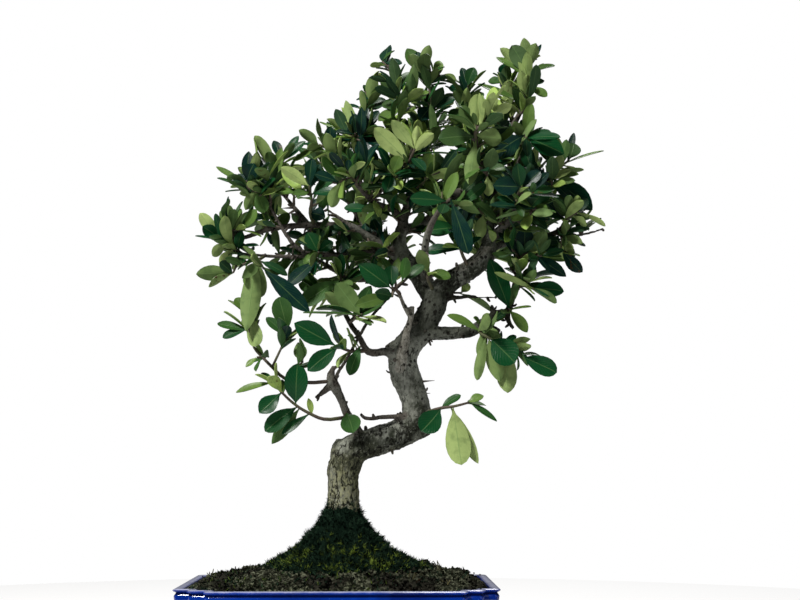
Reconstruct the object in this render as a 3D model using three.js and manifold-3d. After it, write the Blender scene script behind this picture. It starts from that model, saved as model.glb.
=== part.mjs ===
// Firethorn bonsai in a blue glazed pot. Millimetres, +Z up, +X to the right of the front view and
// +Y away from it. The origin is under the middle of the pot, on the plane that the pot stands on.
import * as THREE from "three";
import { mergeVertices } from "three/addons/utils/BufferGeometryUtils.js";
import Module from "manifold-3d";

const wasm = await Module();
wasm.setup();
const { Manifold } = wasm;

// Room left between two pieces that touch, and the finest detail kept in the pot and earth, in
// the bark and in the leaves
const GAP = 0.3;
const SLIVER = 0.08;
const BARK_SLIVER = 0.2;
const LEAF_SLIVER = 0.15;

// Pot: outer size at the lip, the two steps of each notched corner, and the rounding of its edges
const POT_WIDTH = 215;
const POT_DEPTH = 163;
const POT_HEIGHT = 68;
const STEP_X = [10.6, 12];
const STEP_Y = [10, 10];
const EDGE_ROUND = 3.2;

// Heights on the pot's wall, each with its distance in from the lip's outline
const FLOOR_UNDERSIDE = 2.5;
const FLOOR_TOP = 9.5;
const WALL_OUTSIDE = [
  [FLOOR_UNDERSIDE, 22],
  [9, 13],
  [22, 6.5],
  [61.5, 1],
  [62.6, 2.4],
  [64.3, 0.3],
  [66.8, 0],
  [POT_HEIGHT, 1.6],
];
const WALL_INSIDE = [
  [FLOOR_TOP, 22],
  [24, 14],
  [POT_HEIGHT, 6.5],
  [POT_HEIGHT + 70, 6.5],
];
const FOOT_HEIGHT = 9;
const FOOT_OUTSIDE = 9;
const FOOT_INSIDE = 25;
const FOOT_REACH = [47, 42];
const DRAIN_DIAMETER = 12;
const DRAIN_X = 46;

// Mound of soil: its height falls away from the trunk, and its edge stays just under the lip
const MOUND_CENTRE = [2, 0];
const MOUND_FOOT = 69;
const MOUND_RISE = 75;
const MOUND_SPREAD = 26;
const SOIL_EDGE = 66;
const SOIL_EDGE_WIDTH = 15;

// Moss: thickness of the skin and how far it spreads
const MOSS_THICK = 3.2;
const MOSS_REACH = 56;
const SECTORS = 22;

// Front view that the tree is trained to be seen from. Its places are given as they look from
// there: across, up, and depth behind the trunk's plane.
const FRONT_EYE = [28, -928, 144];

// Leaves: thickness of a blade, its fold along the midrib, and the half outline as shares of its
// length and half width
const LEAF_THICK = 0.7;
const LEAF_FOLD = 0.1;
const LEAF_OUTLINE = [
  [0, 0],
  [0.36, 0.88],
  [0.74, 0.9],
  [1, 0],
  [0.74, -0.9],
  [0.36, -0.88],
];
const TIP = 3;
const LEAF_SPACING = 1.8;
const ROOT_OUT = 0.6;
const LEAF_TRIES = 12;
const GOLDEN_TURN = 2.39996;

// Twigs of the leafy branches: radius at their foot and at their tips
const TWIG_FOOT = 1.5;
const TWIG_TIP = 1.05;

// Trunk from its root end in the soil to the fork, as across, up, depth and radius
const TRUNK = [
  [2, 44, 0, 13],
  [2, 72, 0, 13],
  [2, 100, 0, 12.2],
  [2.2, 120, 0, 11.5],
  [2.2, 136, 0, 11],
  [3, 148, 0, 11.4],
  [8, 158, 0, 11.6],
  [20, 163.5, 0, 10.4],
  [33, 168, 0, 10.2],
  [45, 172.5, 0, 10.6],
  [53, 180, 0, 10.8],
  [53.5, 191, 0, 10],
  [50, 203, 0, 10.2],
  [45.5, 214, 0, 10.6],
  [44, 224, 0, 10.4],
  [49, 235, 0, 10.3],
  [57, 245, 0, 10],
  [63, 256, 0, 9.4],
  [68, 268, 0, 9.2],
  [70, 277, 0, 7],
];

// Knots, stubs, forks and branches that are one piece with the trunk
const BRANCHES = [
  // Old cuts at the bends
  [[2, 150, 0, 8.5], [0.5, 160, 0, 7.6], [1, 167, 0, 4]],
  [[52, 174, 0, 8.5], [60, 175, 0, 6.6], [65, 176, 0, 4]],
  [[44, 224, 0, 8], [37, 231, 0, 6], [34, 235, 0, 3.6]],
  // Right fork and its leader
  [[68, 270, 0, 8.4], [77, 279, -2, 8], [86, 285, -4, 7.5], [96, 291, -6, 7.4], [104, 299, -6, 6.8],
    [107, 310, -4, 5.6], [105, 323, 0, 4.6], [103, 335, 4, 4], [104, 347, 6, 3.4], [109, 362, 6, 2.9],
    [117, 380, 4, 2.5], [126, 397, 0, 2.2], [133, 410, -2, 1.9]],
  // Left fork
  [[66, 268, 2, 8], [60, 278, 5, 7.4], [52, 289, 8, 6.8], [45, 298, 10, 6.2], [42, 308, 10, 5.2],
    [43, 319, 8, 4.4]],
  [[43, 316, 8, 4.2], [46, 330, 6, 3.6], [51, 342, 2, 3], [56, 351, -4, 2.5], [51, 360, -10, 2.1],
    [45, 367, -14, 1.9]],
  [[44, 317, 8, 4], [55, 321, 14, 3.8], [66, 327, 18, 3.7], [74, 338, 18, 3.5], [83, 345, 14, 3.3],
    [92, 348, 8, 2.9], [99, 360, 0, 2.4], [97, 376, -4, 2]],
  // Left limbs of the crown
  [[44, 297, 10, 5], [35, 302, 12, 3.8], [25, 309, 10, 3.6], [15, 315, 6, 3.4], [6, 320, 2, 3.2],
    [-8, 321, 0, 2.7], [-24, 321, 0, 2.4], [-41, 320, -2, 2.1], [-56, 317, -4, 1.9], [-70, 312, -6, 1.7],
    [-79, 311, -8, 1.5]],
  [[5, 321, 2, 2.4], [-3, 327, -1, 1.6], [-11, 333, -3, 0.9]],
  [[44, 318, 8, 3], [42, 327, 4, 2.6], [36, 333, 0, 2.4], [28, 336, -2, 2.4], [21, 340, -4, 2.3],
    [15, 350, -2, 1.9], [11, 360, 0, 1.8], [10, 374, 4, 1.6], [10, 385, 6, 1.4]],
  [[21, 340, -4, 2], [30, 348, -11, 1.5], [37, 355, -17, 1.3]],
  [[21, 340, -4, 2], [15, 346, -24, 1.8], [10, 352, -42, 1.6]],
  [[40, 303, 10, 2.2], [10, 301, 4, 1.8], [-16, 299, 0, 1.6], [-45, 298, -6, 1.4], [-74, 300, -10, 1.3]],
  [[-18, 299, 0, 1.6], [-30, 303, -6, 1.6], [-38, 311, -9, 1.5], [-45, 322, -11, 1.4], [-52, 335, -11, 1.3],
    [-57, 344, -11, 1.2]],
  [[46, 292, 8, 3], [35, 287, 14, 2.6], [20, 282, 18, 2.5], [8, 282, 20, 2.4], [0, 286, 20, 2.2],
    [-10, 291, 18, 2], [-20, 297, 14, 1.6]],
  // Low branches of the left side
  [[14, 168, -3, 4.4], [9, 178, -6, 3.2], [4, 186, -7, 3], [0, 196, -8, 3], [-4, 204, -9, 3.6],
    [-7, 210, -10, 3.4], [-5, 219, -10, 1.4]],
  [[-6, 206, -9, 3], [-14, 199, -6, 1.9], [-18, 196, -5, 1.2]],
  [[48, 183, -5, 2.2], [30, 182.5, -10, 1.7], [17, 182, -13, 1.5], [14, 185, -14, 1.2]],
  [[-4, 204, -9, 2], [-3, 212, -15, 1.5], [3, 222, -19, 1.3], [13, 240, -22, 1.3], [20, 252, -23, 1.3],
    [30, 264, -23, 1.2], [38, 273, -23, 1.2], [48, 283, -21, 1]],
  [[42, 225, -2, 6], [33, 229, -6, 3.4], [20, 229, -10, 2.7], [16, 234, -12, 2.3], [13, 240, -13, 2.1],
    [8, 247, -14, 2], [3, 256, -14, 1.8], [0, 262, -14, 1.5]],
  [[43, 216, -6, 4], [44, 230, -10, 3], [47, 243, -13, 2.6], [50, 253, -14, 2.3], [51, 262, -14, 1.8]],
  [[50, 254, -14, 2], [45, 263, -16, 1.6], [41, 273, -18, 1.4]],
  // Low branches of the right side
  [[58, 243, -2, 6], [75, 242.5, -6, 4.8], [85, 243, -7, 4.3], [93, 244, -8, 4.2], [104, 251, -8, 3.7],
    [113, 256.5, -8, 3.3], [119, 258, -8, 2.8], [122, 264, -8, 2.4], [124, 272, -8, 2.2], [125.5, 280, -8, 2],
    [128, 290, -9, 1.8]],
  [[119, 257, -8, 2.5], [121, 250, -11, 1.7], [124, 246, -12, 1.5]],
  [[110, 256, -8, 2.6], [108, 263, -7, 1.4]],
  [[102, 249, -7, 3], [109, 246, -2, 2.6], [114, 244, 2, 1.8]],
  [[70, 268, 0, 3], [90, 268.5, -2, 1.1], [112, 268.5, -4, 0.9]],
  // Right limbs of the crown
  [[107, 310, -4, 4], [118, 321, -18, 3], [128, 328, -34, 2.6], [138, 333, -50, 2.1]],
  [[124, 325, -27, 2.6], [127, 336, -44, 2], [129, 345, -58, 1.6]],
  [[106, 320, 0, 3.8], [120, 331, 8, 3], [134, 343, 10, 2.6], [146, 353, 7, 2.2], [153, 357, 3, 1.7]],
  [[106, 305, -4, 4.4], [120, 309, 4, 3], [135, 312, 8, 2.6], [149, 314, 8, 2.3], [158, 318, 6, 2],
    [163, 325, 4, 1.7]],
  [[155, 316, 7, 2], [168, 314, 4, 1.3], [180, 316, 0, 1.1], [190, 319, -2, 0.9]],
  [[104, 338, 4, 3.2], [116, 348, 0, 2.6], [125, 362, -4, 2.2], [131, 377, -8, 1.8], [133, 385, -10, 1.6]],
  [[104, 348, 4, 3], [101, 362, -22, 2.3], [98, 378, -38, 1.9], [98, 387, -46, 1.6]],
  [[61, 280, -4, 4], [60, 300, -22, 3], [65, 322, -38, 2.4], [75, 338, -48, 1.8]],
  // Limbs of the back of the crown
  [[106, 322, 0, 3.6], [111, 332, 24, 2.8], [116, 346, 46, 2.3], [120, 360, 62, 1.7]],
  [[66, 327, 18, 3.4], [68, 343, 38, 2.6], [66, 362, 54, 2.1], [62, 382, 62, 1.6]],
  [[25, 309, 10, 3.2], [14, 325, 32, 2.5], [3, 342, 50, 2.1], [-6, 358, 60, 1.6]],
  [[88, 286, 0, 4.4], [102, 294, 28, 3], [117, 303, 52, 2.3], [128, 312, 64, 1.6]],
  [[47, 296, 12, 4.6], [32, 292, 36, 3], [18, 294, 58, 2.3], [6, 300, 70, 1.6]],
  [[-24, 321, 0, 2.4], [-32, 331, 22, 1.9], [-42, 343, 38, 1.5]],
];

// A leafy branch is a stem through its points and heads of leaves. A head leaves the stem at the
// point of that number, or is that point where it has no place of its own, and carries its own
// leaves and some more that stand round the twig. A leaf is its tip's place across and up, the
// tip's depth past the head's, its width, and how far it turns its upper side to the front view.
const head = (stemPoint, place, more, ...leaves) => ({ stemPoint, place, more, leaves });
const SPRAYS = {
  low_left: {
    stem: [[2, 182, -8], [-12, 181, -15], [-22, 185, -18], [-32, 191, -20], [-42, 200, -22], [-48, 207, -23]],
    heads: [
      head(0, [4, 186, -14], 0, [9, 171, -4, 14, 1]),
      head(2, null, 0, [-42, 170, -4, 6, 0.7], [-23, 196, -2, 4, 0.5]),
      head(3, null, 0, [-31, 221, -6, 16, 1], [-54, 172, -3, 12, 0.9], [-49, 163, 6, 9, -0.9]),
      head(4, null, 0, [-58, 185, -5, 12, 0.8]),
      head(5, null, 1, [-75, 200, 3, 6, 0.5], [-57, 214, 0, 5, 0.4]),
    ],
  },
  long_left: {
    stem: [[-7, 208, -10], [-25, 207, -14], [-40, 210, -18], [-49, 218, -20], [-56, 225, -20],
      [-62, 232, -19], [-66, 246, -18], [-68, 259, -16]],
    heads: [
      head(2, [-27, 222, -26], 0, [-31, 236, 4, 9, -0.8]),
      head(3, [-38, 242, -26], 1, [-45, 269, -4, 14, 0.9], [-54, 254, 3, 8, 0.5]),
      head(4, [-60, 225, -22], 0, [-68, 218, -2, 4, 0.5]),
      head(6, null, 1, [-85, 239, -3, 7, 0.6], [-89, 249, 2, 8, 0.5]),
      head(7, null, 1, [-60, 232, -8, 11, -0.7], [-76, 268, 2, 8, 0.5]),
    ],
  },
  inner_left: {
    stem: [[19, 230, -11], [10, 229, -20], [2, 231, -29], [-3, 233, -34]],
    heads: [
      head(1, [14, 233, -27], 0, [6, 212, -2, 9, 0.8]),
      head(3, null, 1, [-34, 250, -6, 15, 1], [-24, 215, -4, 12, 1]),
    ],
  },
  inner_left_top: {
    stem: [[6, 250, -14], [11, 254, -27], [15, 256, -32]],
    heads: [
      head(2, null, 1, [-28, 257, -8, 6, 0.15], [-4, 279, 0, 14, -1]),
      head(1, [2, 260, -24], 1, [-12, 272, -3, 8, -0.6]),
    ],
  },
  shoulder: {
    stem: [[42, 271, -18], [38, 275, -27], [36, 275, -31]],
    heads: [
      head(2, null, 0, [12, 293, -4, 14, 1], [36, 292, 5, 10, 0.7]),
      head(1, [45, 281, -30], 1, [60, 292, 0, 8, 0.6]),
    ],
  },
  fork_tuft: {
    stem: [[66, 274, -6], [62, 283, -14], [63, 287, -19]],
    heads: [head(2, null, 1, [79, 283, -2, 8, 0.7], [56, 304, -2, 9, -0.5])],
  },
  left_under: {
    stem: [[1, 285, 20], [-1, 278, 8], [-1, 281, -6]],
    heads: [
      head(2, null, 1, [-31, 262, -6, 13, 0.9]),
      head(1, [-14, 272, 8], 2, [-30, 286, 3, 9, 0.5]),
    ],
  },
  left_under_back: {
    stem: [[-18, 296, 15], [-27, 300, 12], [-34, 296, 9]],
    heads: [
      head(1, null, 1, [-38, 279, 3, 9, 0.7]),
      head(2, null, 1, [-52, 284, 2, 10, 0.6]),
    ],
  },
  left_hanging: {
    stem: [[-55, 299, -8], [-60, 296, -17], [-62, 297, -20]],
    heads: [
      head(2, null, 0, [-66, 262, -5, 12, -0.7], [-57, 268, 4, 9, -0.5]),
      head(1, [-56, 289, -23], 0, [-22, 257, -4, 12, 0.9]),
    ],
  },
  left_edge: {
    stem: [[-72, 300, -10], [-78, 304, -14], [-84, 308, -16], [-90, 312, -17]],
    heads: [
      head(3, null, 0, [-103, 330, -3, 9, -0.7], [-101, 320, -8, 9, 1], [-106, 313, 4, 4, 0.3]),
      head(2, null, 1, [-93, 298, -3, 8, -0.5]),
      head(1, null, 1, [-87, 290, -3, 9, -0.5], [-60, 307, -3, 5, 0.4]),
    ],
  },
  left_low_inner: {
    stem: [[-14, 299, 1], [-16, 303, -10], [-17, 301, -16]],
    heads: [head(2, null, 1, [-25, 316, -3, 11, 0.9], [-6, 309, -2, 8, 0.8], [-32, 309, 3, 5, 0.4])],
  },
  left_mid: {
    stem: [[-76, 311, -8], [-80, 317, -12], [-80, 323, -14]],
    heads: [
      head(2, null, 1, [-82, 336, -2, 5, -0.6], [-72, 339, 4, 3, 0.2], [-87, 326, 0, 6, 0.5]),
      head(1, [-70, 318, -15], 1, [-62, 333, -3, 8, 0.6], [-75, 304, 0, 7, 0.6]),
    ],
  },
  left_mid_inner: {
    stem: [[-54, 318, -4], [-56, 322, 6], [-55, 326, 10]],
    heads: [
      head(2, null, 1, [-68, 328, 3, 8, 0.5], [-49, 342, -2, 9, 0.7]),
      head(1, [-48, 314, 9], 1, [-53, 309, 4, 9, 0.7], [-38, 330, 3, 9, 0.7]),
    ],
  },
  left_upper: {
    stem: [[-56, 343, -11], [-62, 346, -14], [-68, 348, -16], [-70, 354, -17]],
    heads: [
      head(1, null, 0, [-56, 330, -4, 10, 0.8], [-50, 356, 3, 8, 0.6]),
      head(2, null, 0, [-91, 356, 2, 4, 0.4], [-84, 357, -4, 9, -0.6], [-85, 346, 5, 3, 0.2],
        [-70, 332, -5, 7, -0.5]),
      head(3, null, 1, [-68, 376, 3, 8, 0.8], [-64, 367, -5, 12, 1], [-92, 364, 5, 5, 0.5]),
    ],
  },
  left_top: {
    stem: [[-52, 335, -11], [-51, 350, -8], [-49, 361, -8]],
    heads: [
      head(2, null, 1, [-64, 388, -4, 9, -0.5], [-54, 376, -7, 8, -0.6], [-62, 374, 4, 3, 0.2],
        [-64, 367, 1, 5, 0.3], [-44, 379, -1, 7, 0.8]),
      head(2, [-42, 370, -4], 0, [-32, 388, 3, 6, 0.5], [-27, 384, -3, 7, 0.6], [-50, 384, 6, 7, 0.5]),
    ],
  },
  left_inner: {
    stem: [[-20, 321, 0], [-23, 330, -12], [-22, 340, -26], [-24, 350, -36]],
    heads: [
      head(1, null, 0, [-12, 327, -4, 10, 0.9], [-18, 341, 4, 5, 0.5]),
      head(3, null, 1, [-45, 364, -5, 8, -0.7], [-22, 371, -3, 8, 0.9], [-16, 367, 2, 6, 0.8],
        [-36, 344, 0, 7, 0.6], [-1, 346, -4, 8, 0.6], [-5, 358, 2, 9, 0.6]),
    ],
  },
  left_peak: {
    stem: [[11, 362, 0], [1, 370, 0], [-8, 377, -2], [-17, 381, -4]],
    heads: [
      head(3, null, 1, [-32, 392, -2, 8, -0.5], [-26, 378, -5, 6, -0.6], [-36, 369, 0, 6, 0.5]),
      head(2, null, 1, [-9, 395, -3, 9, 0.9], [-5, 386, -7, 8, -0.5], [-17, 391, 3, 6, 0.3]),
    ],
  },
  left_crest: {
    stem: [[10, 383, 6], [9, 386, 0], [4, 388, -4]],
    heads: [
      head(2, null, 0, [-5, 408, -3, 8, -0.7], [-11, 401, 3, 7, -0.4], [-17, 398, 5, 5, 0.3],
        [9, 405, 2, 8, 0.3]),
      head(1, [13, 384, -9], 1, [14, 410, -2, 7, 0.8], [19, 409, 4, 6, 0.8], [19, 370, -6, 11, 1],
        [-5, 386, -2, 6, 0.3], [2, 415, 9, 8, -0.6]),
    ],
  },
  small_light: {
    stem: [[11, 351, -40], [7, 357, -48], [4, 361, -53]],
    heads: [
      head(2, null, 1, [5, 370, -2, 4, 0.7], [17, 368, -3, 5, -0.5], [-4, 363, -4, 5, -0.5]),
      head(1, [-2, 353, -50], 1, [-20, 359, -3, 9, 0.6], [-8, 334, -2, 9, -0.5]),
    ],
  },
  reddish: {
    stem: [[35, 353, -15], [37, 358, -27], [36, 360, -34]],
    heads: [head(2, null, 1, [42, 373, -3, 9, 0.9], [32, 345, -3, 9, 0.8], [21, 360, 3, 7, 0.4],
      [56, 361, 0, 8, 0.4])],
  },
  centre_peak: {
    stem: [[45, 367, -14], [47, 366, -26], [49, 369, -36], [53, 378, -44]],
    heads: [
      head(2, null, 0, [23, 394, -10, 12, -0.8], [36, 380, -2, 4, 0.3]),
      head(3, null, 0, [36, 400, -6, 9, -0.7], [55, 396, -2, 5, -0.4], [67, 390, -5, 8, -0.6],
        [80, 375, 3, 5, 0.1], [61, 362, -4, 8, 0.4]),
    ],
  },
  top_left: {
    stem: [[51, 359, -8], [46, 371, -3], [42, 384, -4], [41, 399, -4], [43, 412, -3], [40, 426, -1],
      [36, 437, 0], [29, 444, 0]],
    heads: [
      head(4, null, 0, [28, 424, 2, 6, -0.5], [54, 425, -5, 10, -0.8], [26, 399, -4, 9, 0.6],
        [29, 412, 3, 9, 0.6]),
      head(5, null, 1, [19, 432, 2, 5, -0.4], [51, 436, -3, 8, 0.5]),
      head(7, null, 1, [38, 453, 2, 4, 0.2], [44, 443, -2, 7, 0.6], [20, 441, 0, 5, -0.4]),
    ],
  },
  top_side: {
    stem: [[10, 385, 6], [14, 397, 12], [18, 408, 14], [22, 417, 14]],
    heads: [
      head(2, null, 1, [32, 415, -3, 10, 0.7], [2, 411, 2, 5, 0.4]),
      head(3, null, 1, [15, 426, 0, 5, 0.5], [10, 415, 2, 5, 0.4], [30, 426, 4, 8, 0.6]),
    ],
  },
  top_mid: {
    stem: [[55, 350, -2], [61, 371, 2], [64, 393, 4], [66, 410, 4], [63, 426, 4], [59, 438, 2]],
    heads: [
      head(3, null, 1, [57, 400, -8, 12, 0.9], [83, 416, -2, 8, 0.6], [74, 425, -5, 9, -0.4]),
      head(5, null, 1, [64, 457, -3, 8, -0.7], [55, 452, 1, 8, 0.9], [47, 454, 5, 11, 0.9],
        [49, 450, -5, 9, -0.5], [75, 441, 1, 5, 0.3]),
      head(4, [72, 434, 6], 1, [84, 430, -3, 6, -0.5], [88, 428, 4, 5, 0.4], [71, 445, 3, 7, 0.7]),
    ],
  },
  centre_right: {
    stem: [[98, 385, -45], [98, 392, -51], [104, 398, -55], [111, 405, -58]],
    heads: [
      head(1, null, 0, [99, 420, -4, 10, -0.8], [87, 411, -2, 9, -0.7], [117, 386, -5, 13, -0.6],
        [70, 386, -2, 14, 0.9], [93, 350, -6, 10, -0.9]),
      head(3, null, 0, [112, 420, -1, 5, -0.6], [125, 412, -2, 7, -0.7], [116, 395, 3, 6, 0.4]),
    ],
  },
  right_saddle: {
    stem: [[97, 374, -4], [91, 392, 6], [90, 410, 8], [92, 426, 8]],
    heads: [
      head(3, null, 1, [97, 440, -2, 9, 0.9], [88, 440, 3, 6, 0.6], [78, 424, -2, 8, 0.7]),
      head(2, null, 1, [104, 421, 2, 9, 0.6], [78, 402, -2, 9, 0.6]),
    ],
  },
  right_peak: {
    stem: [[132, 408, -2], [135, 416, -7], [137, 429, -6], [137, 442, -4]],
    heads: [
      head(1, null, 0, [131, 438, -6, 8, -0.8], [142, 428, -4, 7, 0.6], [99, 427, 7, 9, 0.4]),
      head(2, null, 0, [146, 439, -3, 7, 0.8], [149, 430, 2, 6, 0.6], [151, 418, -3, 7, 0.7]),
      head(3, null, 0, [134, 463, -2, 8, -0.5], [143, 459, -4, 9, -0.5], [147, 458, 5, 4, 0.4],
        [157, 442, 0, 6, 0.5], [125, 457, -2, 13, -0.6], [117, 455, 4, 9, -0.5], [113, 448, 9, 7, 0.5]),
    ],
  },
  right_peak_back: {
    stem: [[125, 395, 0], [122, 412, 12], [120, 430, 16]],
    heads: [
      head(2, null, 2, [119, 443, -2, 9, 0.8], [107, 430, 2, 8, 0.6]),
      head(1, null, 3, [108, 411, 2, 9, 0.6]),
    ],
  },
  right_shoulder: {
    stem: [[133, 384, -10], [134, 389, -18]],
    heads: [head(1, null, 1, [109, 372, -6, 16, 1], [163, 375, -3, 15, 0.9], [139, 413, -2, 8, 0.8],
      [147, 395, 4, 4, 0.3], [126, 399, 2, 7, -0.5], [138, 363, -6, 10, 0.9])],
  },
  right_edge: {
    stem: [[152, 356, 4], [155, 359, -5], [160, 365, -2], [166, 370, 2]],
    heads: [
      head(1, null, 0, [161, 374, -3, 8, -0.7], [177, 363, 2, 5, -0.4], [173, 360, -5, 6, 0.6],
        [131, 360, -4, 10, 0.9], [183, 333, -3, 16, 0.9], [149, 340, -3, 12, 0.8]),
      head(3, null, 0, [170, 383, 0, 12, 0.9], [170, 391, 5, 5, 0.3], [192, 377, 0, 4, 0.3]),
    ],
  },
  right_tip: {
    stem: [[162, 323, 4], [164, 327, -6], [171, 331, -8]],
    heads: [
      head(1, null, 1, [168, 342, -4, 9, -0.8], [156, 345, 3, 10, 0.8], [148, 332, 4, 8, 0.6]),
      head(2, null, 0, [192, 321, -2, 6, -0.3], [179, 342, 3, 8, 0.6], [178, 321, -4, 8, -0.4]),
    ],
  },
  right_front: {
    stem: [[136, 332, -48], [141, 334, -58]],
    heads: [head(1, null, 0, [107, 337, -3, 8, 0.5], [127, 341, 3, 6, 0.4], [119, 348, 6, 6, 0.4],
      [112, 326, -2, 5, -0.3], [156, 341, 0, 5, 0.4], [156, 332, -5, 4, 0.3], [134, 318, -5, 9, -0.4],
      [149, 318, -4, 7, 0.6], [150, 351, 4, 14, 0.9])],
  },
  right_low: {
    stem: [[157, 317, 6], [160, 311, -2], [158, 302, -5]],
    heads: [
      head(1, null, 1, [169, 297, -4, 6, -0.6], [177, 306, 0, 5, 0.4]),
      head(2, null, 1, [173, 299, -1, 4, 0.3], [147, 302, -3, 7, 0.7]),
    ],
  },
  right_mid: {
    stem: [[127, 287, -9], [129, 296, -14], [132, 300, -19], [140, 301, -20]],
    heads: [
      head(1, null, 1, [117, 319, -3, 7, 0.8], [109, 301, -2, 7, 0.6]),
      head(2, null, 0, [133, 319, -4, 12, 0.9], [123, 309, 3, 6, 0.4]),
      head(3, null, 1, [144, 318, -3, 9, -0.7], [163, 284, -3, 9, 0.8], [162, 295, 3, 5, 0.6]),
    ],
  },
  right_low_pair: {
    stem: [[124, 273, -8], [131, 277, -15], [139, 275, -19]],
    heads: [head(2, null, 0, [110, 287, -5, 6, -0.4], [161, 273, -2, 11, 0.9], [156, 265, -5, 7, -0.5],
      [138, 289, 2, 4, 0.4])],
  },
  right_node: {
    stem: [[119, 259, -9], [121, 260, -18]],
    heads: [head(1, null, 0, [107, 297, -4, 14, 1], [134, 243, -2, 8, 0.7], [137, 262, 3, 4, 0.3])],
  },
  right_hanging: {
    stem: [[101, 249, -8], [100, 243, -19], [107, 239, -23], [120, 233, -16], [129, 226, -16]],
    heads: [
      head(1, null, 0, [103, 223, 0, 9, -0.8], [76, 256, -4, 8, 0.5]),
      head(2, null, 0, [125, 221, -7, 19, 1], [114, 207, 2, 12, -1], [97, 208, -3, 7, -0.7]),
      head(3, null, 0, [119, 199, -2, 14, -1]),
      head(4, null, 0, [155, 214, -4, 13, 1], [143, 227, 4, 4, 0.4]),
    ],
  },
  elbow_right: {
    stem: [[59, 185, -6], [72, 189, -14], [80, 190, -18], [92, 193, -16]],
    heads: [
      head(1, null, 0, [57, 172, -4, 16, 1], [86, 198, 0, 8, 0.4]),
      head(2, null, 0, [86, 148, -4, 17, -1], [98, 149, 4, 9, -1]),
      head(3, null, 1, [112, 180, -2, 5, 0.5], [102, 198, 0, 7, 0.5]),
    ],
  },
  inner_front: {
    stem: [[73, 336, -47], [79, 341, -54]],
    heads: [head(1, null, 0, [92, 300, -6, 12, 1], [101, 330, 2, 8, -0.4], [49, 341, -2, 10, 0.9],
      [72, 330, -5, 8, 0.7], [84, 361, 3, 8, 0.6])],
  },
  inner_olive: {
    stem: [[92, 290, -9], [86, 304, -20], [84, 320, -27]],
    heads: [
      head(2, null, 0, [61, 318, -3, 12, 0.8], [66, 334, 4, 10, 0.7], [97, 334, 3, 8, 0.5]),
      head(1, null, 1, [60, 302, -3, 9, 0.6], [78, 322, 3, 8, 0.7]),
    ],
  },
  inner_right: {
    stem: [[105, 318, 0], [103, 326, -14], [103, 330, -20]],
    heads: [head(2, null, 1, [100, 311, -2, 9, -0.4], [114, 324, 0, 6, -0.5], [126, 314, 4, 5, 0.3])],
  },
  centre_low: {
    stem: [[56, 351, -4], [60, 354, -18], [61, 357, -24]],
    heads: [head(2, null, 1, [85, 361, -4, 8, -0.6], [71, 368, 3, 9, -0.5], [46, 350, 0, 8, 0.5],
      [70, 345, -3, 9, 0.8])],
  },
  front_right: {
    stem: [[128, 343, -56], [131, 350, -66]],
    heads: [head(1, null, 1, [110, 351, -5, 13, 1], [128, 368, -2, 9, 0.8], [145, 362, 0, 9, 0.7])],
  },
  front_mid: {
    stem: [[99, 372, -32], [105, 362, -42], [106, 358, -46]],
    heads: [head(2, null, 1, [107, 343, -2, 7, -0.3], [120, 364, -3, 9, 0.7], [90, 362, 4, 9, 0.6])],
  },
  // Back of the crown
  back_right: {
    stem: [[119, 357, 60], [122, 368, 68], [121, 384, 70]],
    heads: [
      head(0, [134, 362, 68], 2),
      head(1, [106, 372, 78], 2),
      head(2, null, 2),
    ],
  },
  back_mid: {
    stem: [[63, 379, 61], [60, 392, 66], [63, 408, 62]],
    heads: [
      head(0, [46, 384, 72], 2),
      head(1, [78, 396, 72], 2),
      head(2, null, 2),
      head(2, [50, 410, 52], 2),
    ],
  },
  back_left: {
    stem: [[-5, 356, 59], [-10, 368, 64], [-6, 380, 60]],
    heads: [
      head(0, [-22, 356, 66], 2),
      head(1, [6, 372, 74], 2),
      head(2, null, 2),
    ],
  },
  back_low_right: {
    stem: [[126, 311, 62], [136, 318, 70], [146, 326, 72]],
    heads: [
      head(0, [120, 322, 76], 2),
      head(1, [140, 306, 76], 2),
      head(2, null, 2),
    ],
  },
  back_low_left: {
    stem: [[8, 299, 68], [0, 306, 76], [-6, 316, 80]],
    heads: [
      head(0, [14, 290, 78], 2),
      head(1, [-14, 300, 78], 2),
      head(2, null, 2),
    ],
  },
  back_far_left: {
    stem: [[-40, 342, 37], [-50, 348, 44], [-58, 356, 44]],
    heads: [
      head(0, [-36, 354, 46], 2),
      head(1, [-60, 340, 50], 2),
      head(2, null, 2),
    ],
  },
  back_centre: {
    stem: [[67, 345, 40], [54, 348, 54], [42, 352, 66]],
    heads: [
      head(1, [60, 334, 66], 2),
      head(2, null, 2),
      head(2, [36, 336, 74], 2),
    ],
  },
  back_inner_right: {
    stem: [[113, 339, 33], [100, 344, 48], [92, 352, 60]],
    heads: [
      head(1, [98, 330, 62], 2),
      head(2, null, 2),
      head(2, [84, 366, 68], 2),
    ],
  },
};

// A piece seen from the front view at a place across and up, moved back along the line of sight
function seen([across, up, depth]) {
  const eye = new THREE.Vector3(...FRONT_EYE);
  return new THREE.Vector3(across, 0, up).sub(eye).multiplyScalar(1 - depth / FRONT_EYE[1]).add(eye);
}

// Random draws that are the same on every run
function draws(seed) {
  let state = Math.imul(seed, 2654435761) >>> 0;
  return () => {
    state = (Math.imul(state, 1664525) + 1013904223) >>> 0;
    return state / 4294967296;
  };
}

// Closed solid of a geometry, and the geometry of a solid
function solidOf(geometry) {
  geometry.deleteAttribute("normal");
  geometry.deleteAttribute("uv");
  const merged = mergeVertices(geometry, 1e-4);
  return new Manifold(
    new wasm.Mesh({
      numProp: 3,
      vertProperties: new Float32Array(merged.attributes.position.array),
      triVerts: new Uint32Array(merged.index.array),
    }),
  );
}

function geometryOf(solid) {
  const { vertProperties, triVerts } = solid.getMesh();
  const geometry = new THREE.BufferGeometry();
  geometry.setAttribute("position", new THREE.BufferAttribute(vertProperties, 3));
  geometry.setIndex(new THREE.BufferAttribute(triVerts, 1));
  return geometry;
}

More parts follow.
